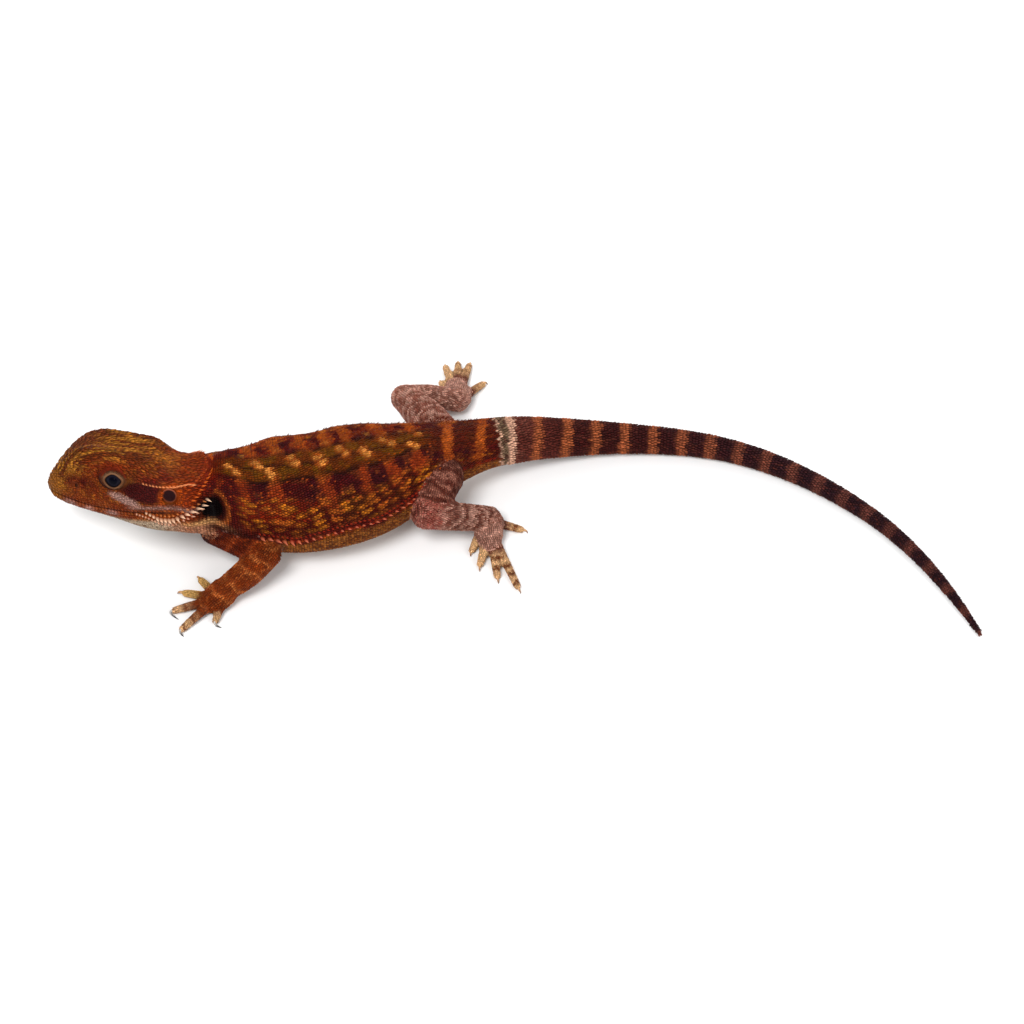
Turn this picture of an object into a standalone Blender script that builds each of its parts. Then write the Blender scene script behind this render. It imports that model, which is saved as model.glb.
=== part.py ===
"""A juvenile bearded dragon at rest, as a still, life-size model: the solids of its body.

Lengths are in millimetres and become metres when a mesh is made. The origin is the point of the
floor under the middle of the belly. The head is at -X, the left flank at -Y, and +Z is up.
Head, neck, trunk and tail are one loft along a spine that lies in an S, parted by thin cuts.
Each limb is a chain of round tapered lofts, cut back to a thin gap where they meet.
"""

import bmesh
import bpy
import numpy as np
from mathutils import Matrix, Vector

MM = 0.001
GAP = 0.3                      # left between neighbouring solids
NAME = "bearded_dragon"

# The spine runs from the snout's tip to the tail's tip. (distance along it, heading in degrees)
SNOUT = (-52.1, 0.3)
HEADING = ((0, -6), (27, -6), (36, 6), (50, 13), (62, 20), (76, 27), (86, 26), (96, 17),
           (108, 10), (118, 1), (132, -9), (146, -24), (160, -36), (172, -45), (184, -56),
           (196, -63), (207, -68))
AXIS_HEIGHT = ((0, 11.0), (29, 12.2), (35, 11.3), (41, 10.0), (48, 9.2), (64, 9.3), (76, 9.0),
               (86, 8.0), (96, 6.5), (108, 4.8), (120, 3.6))
HEAD_ROLL = 21.0               # the crown leans this many degrees away to the right
ROLL_END = (26.0, 42.0)        # the roll dies out along this stretch

# Profiles of the neck, trunk and tail: (distance, size)
HALF_WIDTH = ((27, 8.2), (32, 8.2), (35, 9.0), (39, 10.3), (43, 11.5), (48, 12.8), (60, 13.2),
              (66, 11.9), (72, 9.3), (78, 7.2), (86, 5.8), (94, 5.1), (104, 4.3), (116, 3.4),
              (130, 2.75), (150, 2.2), (175, 1.6), (192, 1.2), (207, 0.65))
BACK_RISE = ((27, 6.4), (32, 7.0), (35, 8.7), (41, 9.6), (48, 10.0), (60, 9.7), (68, 9.2), (76, 8.2),
             (86, 5.7), (94, 4.7), (104, 3.9), (116, 3.1), (130, 2.55), (150, 2.05), (175, 1.5),
             (192, 1.1), (207, 0.6))
BELLY_DROP = ((27, 6.2), (31, 8.7), (35, 10.2), (41, 9.8), (48, 9.6), (60, 9.7), (72, 8.6),
              (80, 6.6), (88, 4.8), (96, 4.4), (104, 3.9), (116, 3.1), (130, 2.55), (150, 2.05),
              (175, 1.5), (192, 1.1), (207, 0.6))
TAIL_LANDING = (96.0, 122.0)   # the tail comes down to the floor along this stretch
TAIL_SINK = 0.15               # how much of the tail's round underside its weight flattens

# Profiles of the head, which blends into the neck: (distance, size)
CHEEK_WIDTH = ((0, 0.5), (0.3, 1.1), (0.9, 1.9), (2.4, 3.3), (6.8, 5.0), (13.4, 6.6), (20.4, 8.8),
               (25.5, 10.0), (29.5, 10.1), (32.5, 9.4))
BROW_WIDTH = ((0, 0.3), (0.9, 1.4), (2.4, 2.4), (6.4, 3.9), (10, 4.8), (16, 5.2), (22, 5.8),
              (31, 5.4))
BROW_HEIGHT = ((0, 0.6), (0.9, 2.6), (2.4, 5.0), (4.4, 7.3), (6.6, 9.2), (10, 10.2), (16, 9.4),
               (20.4, 8.6), (24.4, 6.2), (31, 6.0))
CROWN_HEIGHT = ((0, 0.7), (0.9, 2.5), (2.4, 4.5), (6.4, 8.1), (10, 9.2), (16, 9.2), (20.4, 8.8),
                (24.4, 7.2), (31, 6.6))
LIP_HEIGHT = ((0, -0.1), (13.4, -0.7), (31, -1.0))
JAW_DEPTH = ((0, 0.3), (0.9, 0.9), (2.4, 1.5), (10, 2.9), (16, 3.5), (22, 3.8), (31, 3.4))
CHIN_DEPTH = ((0, 0.4), (0.9, 1.0), (2.4, 2.0), (6.4, 3.1), (10, 3.7), (16, 5.0), (20.4, 6.4),
              (24.4, 6.6), (31, 5.4))
NECK_BLEND = (29.5, 35.5)      # the head's profiles give way to the neck's along this stretch

# Cuts across the spine, head to tail
PARTS = (
    ("head", 0.0, 32.0, 22, 24),
    ("neck", 32.0, 37.5, 5, 24),
    ("trunk", 37.5, 88.0, 20, 24),
    ("tail_base", 88.0, 114.0, 9, 12),
    ("tail_middle", 114.0, 143.0, 10, 12),
    ("tail_end", 143.0, 174.0, 11, 10),
    ("tail_tip", 174.0, 207.0, 12, 8),
)                              # name, first and last distance, rings, sides

# Eyes and ears in the head's own directions: (distance, across, up)
EYE_PLACE = (15.3, 4.0, 4.7)
EYE_RADIUS = 3.0
EAR_PLACE = (26.8, 8.35, 3.0)
EAR_RADIUS = 1.6
EAR_DEPTH = 0.7

# Limbs: the points of a chain (x, y, z) and its radius at each
LIMBS = {
    "upper_arm_left": (((-18.0, -8.2, 8.0), (-13.4, -11.9, 7.3), (-9.1, -14.4, 6.9)),
                       (4.1, 3.0, 2.8)),
    "forearm_left": (((-8.4, -14.8, 7.4), (-12.3, -17.7, 5.0), (-16.9, -20.4, 2.8)),
                     (2.9, 2.95, 2.4)),
    "upper_arm_right": (((-15.4, 1.0, 9.8), (-15.6, 5.8, 8.4), (-15.7, 9.0, 6.9)),
                        (3.5, 3.1, 2.8)),
    "forearm_right": (((-15.8, 9.3, 6.7), (-20.0, 11.4, 4.6), (-24.7, 12.4, 2.8)),
                      (2.8, 2.75, 2.3)),
    "thigh_left": (((25.4, 3.0, 9.9), (23.5, -0.8, 9.4), (22.2, -4.9, 8.6)),
                   (4.0, 4.1, 3.2)),
    "shin_left": (((22.1, -5.2, 8.4), (28.3, -4.2, 6.3), (34.2, -2.0, 3.4)),
                  (3.2, 2.85, 2.5)),
    "thigh_right": (((26.4, 12.0, 8.4), (21.8, 19.8, 8.8), (17.2, 26.6, 8.0)),
                    (4.5, 4.0, 2.9)),
    "shin_right": (((16.8, 26.9, 7.8), (22.2, 29.2, 6.0), (27.6, 30.6, 3.2)),
                   (2.8, 2.5, 2.3)),
}

# Hands and feet: the chain and radii from wrist or ankle to the knuckles, then each digit's root,
# tip and claw point (x, y) on the floor, thumb side first
FEET = {
    "hand_left": ((((-16.7, -20.2, 2.6), (-18.1, -21.6, 2.0), (-19.2, -22.4, 1.5)),
                   (2.4, 2.3, 1.7)), (
        ((-19.0, -19.4), (-21.6, -15.9), (-22.6, -14.6)),
        ((-20.0, -20.6), (-24.4, -19.1), (-26.0, -18.7)),
        ((-20.4, -22.0), (-26.0, -23.4), (-25.2, -25.2)),
        ((-19.8, -23.2), (-24.1, -27.9), (-23.8, -29.4)),
        ((-17.2, -22.6), (-18.0, -25.8), (-16.8, -27.2)),
    )),
    "foot_left": ((((34.2, -2.4, 2.9), (34.4, -5.2, 2.2), (34.7, -7.4, 1.6)),
                   (2.4, 2.2, 1.7)), (
        ((32.4, -4.6), (31.0, -7.9), (30.7, -9.2)),
        ((33.7, -6.4), (32.6, -11.6), (32.5, -13.1)),
        ((35.0, -7.6), (35.9, -14.6), (36.2, -16.2)),
        ((35.9, -7.4), (39.8, -17.2), (40.5, -18.7)),
        ((36.1, -1.7), (40.5, -2.6), (41.9, -3.1)),
    )),
    "foot_right": ((((27.6, 31.8, 2.7), (27.5, 34.2, 2.1), (27.2, 36.6, 1.6)),
                    (2.3, 2.2, 1.7)), (
        ((25.8, 35.2), (24.1, 38.2), (23.8, 39.4)),
        ((26.4, 36.6), (24.9, 42.8), (24.6, 44.2)),
        ((27.4, 37.6), (27.4, 43.8), (27.5, 45.2)),
        ((28.4, 37.2), (29.7, 43.4), (30.2, 44.7)),
        ((29.2, 34.0), (32.6, 38.0), (33.7, 38.5)),
    )),
}
RIGHT_HAND_TURN = 164.0        # heading of the right hand, which mirrors the left one
LEFT_HAND_TURN = 219.0
RIGHT_WRIST = (-24.7, 12.4)
DIGIT_RADII = (1.0, 0.86, 0.74)
DIGIT_HEIGHTS = (1.4, 1.15, 0.74)
CLAW_RADII = (0.34, 0.27, 0.1)
CLAW_HEIGHTS = (0.62, 0.55, 0.14)
PALM_SPREAD = 1.25             # a palm's width over its height
CLAW_BEND = 0.25               # how far a claw carries straight on before it turns to its point


def smooth(at, curve):
    """Cubic through the curve's knots, whose slope at a knot is the mean of its two sides'."""
    knots, values = np.transpose(np.asarray(curve, float))
    rise = np.diff(values) / np.diff(knots)
    slope = np.concatenate([rise[:1], (rise[1:] + rise[:-1]) / 2, rise[-1:]])
    at = np.clip(at, knots[0], knots[-1])
    i = np.clip(np.searchsorted(knots, at, side="right") - 1, 0, len(knots) - 2)
    step = knots[i + 1] - knots[i]
    t = (at - knots[i]) / step
    rising = values[i] + (values[i + 1] - values[i]) * t * t * (3 - 2 * t)
    return rising + step * t * (1 - t) * (slope[i] * (1 - t) - slope[i + 1] * t)


def ease(at, start_end):
    """0 before the stretch, 1 after it, and level at both ends."""
    t = np.clip((at - start_end[0]) / (start_end[1] - start_end[0]), 0, 1)
    return t * t * (3 - 2 * t)


def spine_at(distance):
    """(x, y, heading in radians) of the spine, its heading integrated from the snout's tip."""
    steps = np.linspace(0.0, HEADING[-1][0], 1000)
    heading = np.radians(smooth(steps, HEADING))
    ds = steps[1] - steps[0]
    x = SNOUT[0] + np.concatenate([[0], np.cumsum(np.cos(heading[1:]) * ds)])
    y = SNOUT[1] + np.concatenate([[0], np.cumsum(np.sin(heading[1:]) * ds)])
    return (np.interp(distance, steps, x), np.interp(distance, steps, y),
            np.interp(distance, steps, heading))


def axis_height(distance):
    """The axis comes down until the tail's underside lies on the floor."""
    lying = smooth(distance, BELLY_DROP) - TAIL_SINK
    landed = ease(distance, TAIL_LANDING)
    return smooth(distance, AXIS_HEIGHT) * (1 - landed) + lying * landed


def head_section(distance, turn):
    """(across, up) of the head: a cubic through seven meridians, 30 degrees of turn apart."""
    width = smooth(distance, CHEEK_WIDTH)
    brow = smooth(distance, BROW_WIDTH)
    ridge = smooth(distance, BROW_HEIGHT)
    chin = smooth(distance, CHIN_DEPTH)
    zero = np.zeros_like(width)
    across = np.stack([zero, brow, (brow + 2 * width) / 3, width, 0.92 * width, 0.48 * width, zero])
    up = np.stack([smooth(distance, CROWN_HEIGHT), ridge, 0.52 * ridge, smooth(distance, LIP_HEIGHT),
                   -smooth(distance, JAW_DEPTH), -0.93 * chin, -chin])
    across = np.concatenate([-across[1:2], across, -across[-2:-1]])
    up = np.concatenate([up[1:2], up, up[-2:-1]])
    place = np.clip(np.abs(turn) / (np.pi / 6), 0, 6 - 1e-9)
    i = place.astype(int)
    t = place - i
    weights = ((-t + 2 * t**2 - t**3) / 2, (2 - 5 * t**2 + 3 * t**3) / 2,
               (t + 4 * t**2 - 3 * t**3) / 2, (t**3 - t**2) / 2)
    column = np.arange(np.size(distance))
    a = sum(w * across[i + k, column] for k, w in enumerate(weights))
    u = sum(w * up[i + k, column] for k, w in enumerate(weights))
    return np.where(turn < 0, -a, a), u


def body_points(distance, turn, swell=0.0):
    """Points of the body. A turn of 0 is the back, +90 degrees the left flank, 180 the belly."""
    distance, turn = np.broadcast_arrays(np.asarray(distance, float), np.asarray(turn, float))
    shape = distance.shape
    distance = distance.ravel()
    turn = turn.ravel()
    x, y, heading = spine_at(distance)
    rise = smooth(distance, BACK_RISE)
    drop = smooth(distance, BELLY_DROP)
    across = smooth(distance, HALF_WIDTH) * np.sin(turn)
    up = np.where(np.cos(turn) > 0, rise, drop) * np.cos(turn)
    head_across, head_up = head_section(distance, turn)
    neck = ease(distance, NECK_BLEND)
    across = across * neck + head_across * (1 - neck) + swell * np.sin(turn)
    up = up * neck + head_up * (1 - neck) + swell * np.cos(turn)
    roll = np.radians(HEAD_ROLL) * (1 - ease(distance, ROLL_END))
    left = across * np.cos(roll) - up * np.sin(roll)
    points = np.stack([x + left * np.sin(heading), y - left * np.cos(heading),
                       axis_height(distance) + up * np.cos(roll) + across * np.sin(roll)], -1)
    points[:, 2] = np.maximum(points[:, 2], -swell)
    return points.reshape(shape + (3,))


def limb_points(chain, radii, swell=0.0, rings=5, sides=12, spread=1.0, doming=(22, 55)):
    """A round loft along a smooth line through the chain, domed beyond both its ends."""
    chain = np.asarray(chain, float)
    knots = np.linspace(0, 1, len(chain))
    along = np.linspace(0, 1, rings)
    centre = np.stack([smooth(along, np.transpose([knots, values])) for values in chain.T], 1)
    radius = smooth(along, np.transpose([knots, radii])) + swell
    tangent = np.gradient(centre, axis=0)
    tangent /= np.linalg.norm(tangent, axis=1)[:, None]
    dome = np.radians(doming)
    first = centre[0] - np.outer(np.cos(dome), tangent[0]) * radius[0]
    last = centre[-1] + np.outer(np.cos(dome[::-1]), tangent[-1]) * radius[-1]
    centre = np.concatenate([first, centre, last])
    radius = np.concatenate([radius[0] * np.sin(dome), radius, radius[-1] * np.sin(dome[::-1])])
    ends = len(dome)
    tangent = np.concatenate([tangent[:1].repeat(ends, 0), tangent, tangent[-1:].repeat(ends, 0)])
    side = np.cross(tangent, (0.0, 0.0, 1.0))
    side /= np.linalg.norm(side, axis=1)[:, None]
    up = np.cross(side, tangent)
    turn = np.arange(sides) * 2 * np.pi / sides
    ring = (np.cos(turn)[None, :, None] * side[:, None] * spread
            + np.sin(turn)[None, :, None] * up[:, None])
    points = centre[:, None] + radius[:, None, None] * ring
    points[..., 2] = np.maximum(points[..., 2], -swell)
    return points


def clear_scene():
    for old in list(bpy.data.objects):
        bpy.data.objects.remove(old, do_unlink=True)


def make_collection(name):
    collection = bpy.data.collections.new(name)
    bpy.context.scene.collection.children.link(collection)
    return collection


def make_material(name, colour, roughness):
    material = bpy.data.materials.new(name)
    material.use_nodes = True
    shader = material.node_tree.nodes["Principled BSDF"]
    shader.inputs["Base Color"].default_value = (*colour, 1.0)
    shader.inputs["Roughness"].default_value = roughness
    return material


def loft(name, points, collection, material):
    """A closed mesh over rings of points (rings, sides, xyz), each end closed by one flat face."""
    rings, sides = points.shape[:2]
    corner = np.arange(rings * sides).reshape(rings, sides)
    beside = np.roll(corner, -1, axis=1)
    quads = np.stack([corner[:-1], corner[1:], beside[1:], beside[:-1]], -1).reshape(-1, 4)
    faces = quads.tolist() + [corner[0].tolist(), corner[-1][::-1].tolist()]
    mesh = bpy.data.meshes.new(name)
    mesh.from_pydata((points.reshape(-1, 3) * MM).tolist(), [], faces)
    work = bmesh.new()
    work.from_mesh(mesh)
    bmesh.ops.recalc_face_normals(work, faces=work.faces)
    work.to_mesh(mesh)
    work.free()
    mesh.shade_smooth()
    mesh.materials.append(material)
    made = bpy.data.objects.new(name, mesh)
    collection.objects.link(made)
    return made


def as_cutter(made):
    """Hide a shape that only cuts or joins others."""
    made.hide_render = True
    made.display_type = "WIRE"
    return made


def combine(made, tool, operation):
    """Add or take away another shape's volume."""
    modifier = made.modifiers.new(tool.name, "BOOLEAN")
    modifier.operation = operation
    modifier.solver = "EXACT"
    modifier.object = tool


def body_loft(name, first, last, rings, sides, swell, collection, material):
    """A closed length of the body between two distances; rings crowd towards the snout."""
    distance = np.linspace(first, last, rings)
    if first == 0.0:
        distance = last * np.linspace(0, 1, rings) ** 1.5
    turn = (np.arange(sides) + 0.5) * 2 * np.pi / sides
    turn = np.where(turn > np.pi, turn - 2 * np.pi, turn)
    points = body_points(distance[:, None], turn[None, :], swell)
    return loft(name, points, collection, material)


def head_place(place, side):
    """The world's place and the head's rotation there, for (distance, across, up) on a side."""
    distance, across, up = place
    x, y, heading = spine_at(distance)
    roll = np.radians(HEAD_ROLL)
    back = Vector((np.cos(heading), np.sin(heading), 0.0))
    left = Vector((np.sin(heading) * np.cos(roll), -np.cos(heading) * np.cos(roll), np.sin(roll)))
    crown = left.cross(back)
    centre = Vector((x, y, axis_height(distance))) + left * across * side + crown * up
    turn = np.array([back, crown.cross(back), crown]).T
    return centre, turn


def ball(name, place, side, radii, collection, material):
    """An ellipsoid set in the head, its radii along the head, across it and up."""
    work = bmesh.new()
    bmesh.ops.create_uvsphere(work, u_segments=10, v_segments=8, radius=1.0)
    for vertex in work.verts:
        vertex.co = [value * radius * MM for value, radius in zip(vertex.co, radii)]
    mesh = bpy.data.meshes.new(name)
    work.to_mesh(mesh)
    work.free()
    mesh.shade_smooth()
    mesh.materials.append(material)
    made = bpy.data.objects.new(name, mesh)
    centre, turn = head_place(place, side)
    made.location = centre * MM
    made.rotation_euler = Matrix(turn.tolist()).to_euler()
    collection.objects.link(made)
    return made


def mirrored_hand():
    """The left hand turned over a line along its forearm, then laid at the right wrist."""
    (chain, radii), digits = FEET["hand_left"]
    wrist = np.array(chain[0][:2])
    old, new = np.radians(LEFT_HAND_TURN), np.radians(RIGHT_HAND_TURN)

    def moved(point):
        ahead, across = point[0] - wrist[0], point[1] - wrist[1]
        forward = ahead * np.cos(old) + across * np.sin(old)
        aside = -ahead * np.sin(old) + across * np.cos(old)
        return (RIGHT_WRIST[0] + forward * np.cos(new) + aside * np.sin(new),
                RIGHT_WRIST[1] + forward * np.sin(new) - aside * np.cos(new))

    chain = tuple(moved(point) + (point[2],) for point in chain)
    return (chain, radii), tuple(tuple(moved(point) for point in digit) for digit in digits)


def make_foot(name, palm, digits, parts, cutters, skin, horn):
    """A palm with its five digits joined on, and five separate claws."""
    chain, radii = palm
    foot = loft(name, limb_points(chain, radii, rings=5, spread=PALM_SPREAD), parts, skin)
    for number, (root, tip, point) in enumerate(digits, 1):
        root, tip, point = np.array(root), np.array(tip), np.array(point)
        path = [(*where, height) for where, height in
                zip((root, (root + tip) / 2, tip), DIGIT_HEIGHTS)]
        digit = loft(f"{name}_digit_{number}",
                     limb_points(path, DIGIT_RADII, rings=3, sides=7, doming=(25, 60)), cutters, skin)
        combine(foot, as_cutter(digit), "UNION")
        ahead = (tip - root) / np.linalg.norm(tip - root)
        start = tip + ahead * (DIGIT_RADII[-1] + GAP + CLAW_RADII[0])
        bend = (start + point) / 2 + ahead * CLAW_BEND * np.linalg.norm(point - start)
        path = [(*where, height) for where, height in zip((start, bend, point), CLAW_HEIGHTS)]
        loft(f"claw_{name}_{number}",
             limb_points(path, CLAW_RADII, rings=3, sides=5, doming=(35,)), parts, horn)
    return foot


def main():
    clear_scene()
    parts = make_collection(NAME)
    cutters = make_collection("cutters")
    skin = make_material("orange_brown_skin", (0.28, 0.07, 0.015), 0.6)
    pale = make_material("dusty_pink_skin", (0.32, 0.15, 0.12), 0.6)
    dark = make_material("dark_tail_skin", (0.08, 0.03, 0.03), 0.6)
    horn = make_material("grey_claw", (0.25, 0.25, 0.27), 0.35)
    glossy = make_material("dark_eye", (0.02, 0.02, 0.03), 0.1)
    drum = make_material("ear_drum", (0.03, 0.01, 0.01), 0.5)

    made = {}
    for name, first, last, rings, sides in PARTS:
        start = first + GAP / 2 if first > 0 else first
        finish = last - GAP / 2 if last < PARTS[-1][2] else last
        colour = dark if name.startswith("tail") else skin
        made[name] = body_loft(name, start, finish, rings, sides, 0.0, parts, colour)
    hull = as_cutter(body_loft("body_clearance", 20.0, 110.0, 36, 24, GAP, cutters, skin))

    for side, word in ((1, "left"), (-1, "right")):
        for organ, place, radii, finish in (
            ("eye", EYE_PLACE, (EYE_RADIUS,) * 3, glossy),
            ("ear", EAR_PLACE, (EAR_RADIUS, EAR_DEPTH, EAR_RADIUS), drum),
        ):
            ball(f"{organ}_{word}", place, side, radii, parts, finish)
            room = [radius + GAP for radius in radii]
            socket = ball(f"{organ}_{word}_socket", place, side, room, cutters, finish)
            combine(made["head"], as_cutter(socket), "DIFFERENCE")

    for name, (chain, radii) in LIMBS.items():
        colour = skin if "arm" in name else pale
        made[name] = loft(name, limb_points(chain, radii), parts, colour)
        swollen = limb_points(chain, radii, GAP)
        made[name + "_clearance"] = as_cutter(loft(name + "_clearance", swollen, cutters, colour))
        combine(made[name], hull, "DIFFERENCE")

    feet = dict(FEET, hand_right=mirrored_hand())
    for name, (palm, digits) in feet.items():
        colour = skin if name.startswith("hand") else pale
        made[name] = make_foot(name, palm, digits, parts, cutters, colour, horn)

    for word in ("left", "right"):
        for inner, outer, foot in (("upper_arm", "forearm", "hand"), ("thigh", "shin", "foot")):
            clearance = made[f"{outer}_{word}_clearance"]
            combine(made[f"{inner}_{word}"], clearance, "DIFFERENCE")
            combine(made[f"{foot}_{word}"], clearance, "DIFFERENCE")


main()
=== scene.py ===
import bpy
import numpy as np
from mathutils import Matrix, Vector
from mathutils.bvhtree import BVHTree


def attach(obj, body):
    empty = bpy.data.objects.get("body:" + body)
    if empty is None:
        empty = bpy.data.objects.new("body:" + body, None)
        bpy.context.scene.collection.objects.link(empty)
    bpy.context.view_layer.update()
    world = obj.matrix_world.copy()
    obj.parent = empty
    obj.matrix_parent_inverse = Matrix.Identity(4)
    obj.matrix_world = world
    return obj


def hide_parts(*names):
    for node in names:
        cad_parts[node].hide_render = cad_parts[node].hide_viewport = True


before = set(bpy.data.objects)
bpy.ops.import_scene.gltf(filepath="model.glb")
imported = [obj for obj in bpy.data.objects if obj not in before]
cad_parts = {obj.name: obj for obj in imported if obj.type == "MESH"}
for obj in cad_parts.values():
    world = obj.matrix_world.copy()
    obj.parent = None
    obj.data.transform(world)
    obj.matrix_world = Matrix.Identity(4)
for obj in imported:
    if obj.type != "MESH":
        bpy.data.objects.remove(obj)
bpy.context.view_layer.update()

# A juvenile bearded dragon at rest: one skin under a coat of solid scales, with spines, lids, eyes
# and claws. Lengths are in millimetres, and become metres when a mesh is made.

MM = 0.001

# ---- The body's own shape, as its solids have it -----------------------------------------------

# Every curve is a row of knots: (distance from the snout along the spine, value). Heights and
# depths are from the axis, and the heading is in degrees.
SNOUT = (-52.1, 0.3)
HEADING = ((0, -6), (27, -6), (36, 6), (50, 13), (62, 20), (76, 27), (86, 26), (96, 17),
           (108, 10), (118, 1), (132, -9), (146, -24), (160, -36), (172, -45), (184, -56),
           (196, -63), (207, -68))
AXIS_HEIGHT = ((0, 11.0), (29, 12.2), (35, 11.3), (41, 10.0), (48, 9.2), (64, 9.3), (76, 9.0),
               (86, 8.0), (96, 6.5), (108, 4.8), (120, 3.6))
HEAD_ROLL = 21.0
ROLL_END = (26.0, 42.0)
HALF_WIDTH = ((27, 8.2), (32, 8.2), (35, 9.0), (39, 10.3), (43, 11.5), (48, 12.8), (60, 13.2),
              (66, 11.9), (72, 9.3), (78, 7.2), (86, 5.8), (94, 5.1), (104, 4.3), (116, 3.4),
              (130, 2.75), (150, 2.2), (175, 1.6), (192, 1.2), (207, 0.65))
BACK_RISE = ((27, 6.4), (32, 7.0), (35, 8.7), (41, 9.6), (48, 10.0), (60, 9.7), (68, 9.2), (76, 8.2),
             (86, 5.7), (94, 4.7), (104, 3.9), (116, 3.1), (130, 2.55), (150, 2.05), (175, 1.5),
             (192, 1.1), (207, 0.6))
BELLY_DROP = ((27, 6.2), (31, 8.7), (35, 10.2), (41, 9.8), (48, 9.6), (60, 9.7), (72, 8.6),
              (80, 6.6), (88, 4.8), (96, 4.4), (104, 3.9), (116, 3.1), (130, 2.55), (150, 2.05),
              (175, 1.5), (192, 1.1), (207, 0.6))
TAIL_LANDING = (96.0, 122.0)
TAIL_SINK = 0.15
CHEEK_WIDTH = ((0, 0.5), (0.3, 1.1), (0.9, 1.9), (2.4, 3.3), (6.8, 5.0), (13.4, 6.6), (20.4, 8.8),
               (25.5, 10.0), (29.5, 10.1), (32.5, 9.4))
BROW_WIDTH = ((0, 0.3), (0.9, 1.4), (2.4, 2.4), (6.4, 3.9), (10, 4.8), (16, 5.2), (22, 5.8),
              (31, 5.4))
BROW_HEIGHT = ((0, 0.6), (0.9, 2.6), (2.4, 5.0), (4.4, 7.3), (6.6, 9.2), (10, 10.2), (16, 9.4),
               (20.4, 8.6), (24.4, 6.2), (31, 6.0))
CROWN_HEIGHT = ((0, 0.7), (0.9, 2.5), (2.4, 4.5), (6.4, 8.1), (10, 9.2), (16, 9.2), (20.4, 8.8),
                (24.4, 7.2), (31, 6.6))
LIP_HEIGHT = ((0, -0.1), (13.4, -0.7), (31, -1.0))
JAW_DEPTH = ((0, 0.3), (0.9, 0.9), (2.4, 1.5), (10, 2.9), (16, 3.5), (22, 3.8), (31, 3.4))
CHIN_DEPTH = ((0, 0.4), (0.9, 1.0), (2.4, 2.0), (6.4, 3.1), (10, 3.7), (16, 5.0), (20.4, 6.4),
              (24.4, 6.6), (31, 5.4))
NECK_BLEND = (29.5, 35.5)
BODY_LENGTH = 207.0

# Limbs: a chain of three points, and the radius at each
LIMBS = {
    "upper_arm_left": (((-18.0, -8.2, 8.0), (-13.4, -11.9, 7.3), (-9.1, -14.4, 6.9)),
                       (4.1, 3.0, 2.8)),
    "forearm_left": (((-8.4, -14.8, 7.4), (-12.3, -17.7, 5.0), (-16.9, -20.4, 2.8)),
                     (2.9, 2.95, 2.4)),
    "upper_arm_right": (((-15.4, 1.0, 9.8), (-15.6, 5.8, 8.4), (-15.7, 9.0, 6.9)),
                        (3.5, 3.1, 2.8)),
    "forearm_right": (((-15.8, 9.3, 6.7), (-20.0, 11.4, 4.6), (-24.7, 12.4, 2.8)),
                      (2.8, 2.75, 2.3)),
    "thigh_left": (((25.4, 3.0, 9.9), (23.5, -0.8, 9.4), (22.2, -4.9, 8.6)),
                   (4.0, 4.1, 3.2)),
    "shin_left": (((22.1, -5.2, 8.4), (28.3, -4.2, 6.3), (34.2, -2.0, 3.4)),
                  (3.2, 2.85, 2.5)),
    "thigh_right": (((26.4, 12.0, 8.4), (21.8, 19.8, 8.8), (17.2, 26.6, 8.0)),
                    (4.5, 4.0, 2.9)),
    "shin_right": (((16.8, 26.9, 7.8), (22.2, 29.2, 6.0), (27.6, 30.6, 3.2)),
                   (2.8, 2.5, 2.3)),
}
# Feet: the palm's chain and radii, and five digits as the places of root, tip and claw's point
FEET = {
    "hand_left": ((((-16.7, -20.2, 2.6), (-18.1, -21.6, 2.0), (-19.2, -22.4, 1.5)),
                   (2.4, 2.3, 1.7)), (
        ((-19.0, -19.4), (-21.6, -15.9), (-22.6, -14.6)),
        ((-20.0, -20.6), (-24.4, -19.1), (-26.0, -18.7)),
        ((-20.4, -22.0), (-26.0, -23.4), (-25.2, -25.2)),
        ((-19.8, -23.2), (-24.1, -27.9), (-23.8, -29.4)),
        ((-17.2, -22.6), (-18.0, -25.8), (-16.8, -27.2)),
    )),
    "foot_left": ((((34.2, -2.4, 2.9), (34.4, -5.2, 2.2), (34.7, -7.4, 1.6)),
                   (2.4, 2.2, 1.7)), (
        ((32.4, -4.6), (31.0, -7.9), (30.7, -9.2)),
        ((33.7, -6.4), (32.6, -11.6), (32.5, -13.1)),
        ((35.0, -7.6), (35.9, -14.6), (36.2, -16.2)),
        ((35.9, -7.4), (39.8, -17.2), (40.5, -18.7)),
        ((36.1, -1.7), (40.5, -2.6), (41.9, -3.1)),
    )),
    "foot_right": ((((27.6, 31.8, 2.7), (27.5, 34.2, 2.1), (27.2, 36.6, 1.6)),
                    (2.3, 2.2, 1.7)), (
        ((25.8, 35.2), (24.1, 38.2), (23.8, 39.4)),
        ((26.4, 36.6), (24.9, 42.8), (24.6, 44.2)),
        ((27.4, 37.6), (27.4, 43.8), (27.5, 45.2)),
        ((28.4, 37.2), (29.7, 43.4), (30.2, 44.7)),
        ((29.2, 34.0), (32.6, 38.0), (33.7, 38.5)),
    )),
}
RIGHT_HAND_TURN = 164.0
LEFT_HAND_TURN = 219.0
RIGHT_WRIST = (-24.7, 12.4)
DIGIT_RADII = (1.0, 0.86, 0.74)
DIGIT_HEIGHTS = (1.4, 1.15, 0.74)
PALM_SPREAD = 1.25
TUBE_STEPS = 80
EYE_PLACE = (15.3, 4.0, 4.7)   # in the head: distance, across, up
EYE_RADIUS = 3.0
EAR_PLACE = (26.4, 8.35, 3.05)
THIN = 1e-9                    # the least length or span that anything is divided by

# ---- The coat ----------------------------------------------------------------------------------

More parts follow.
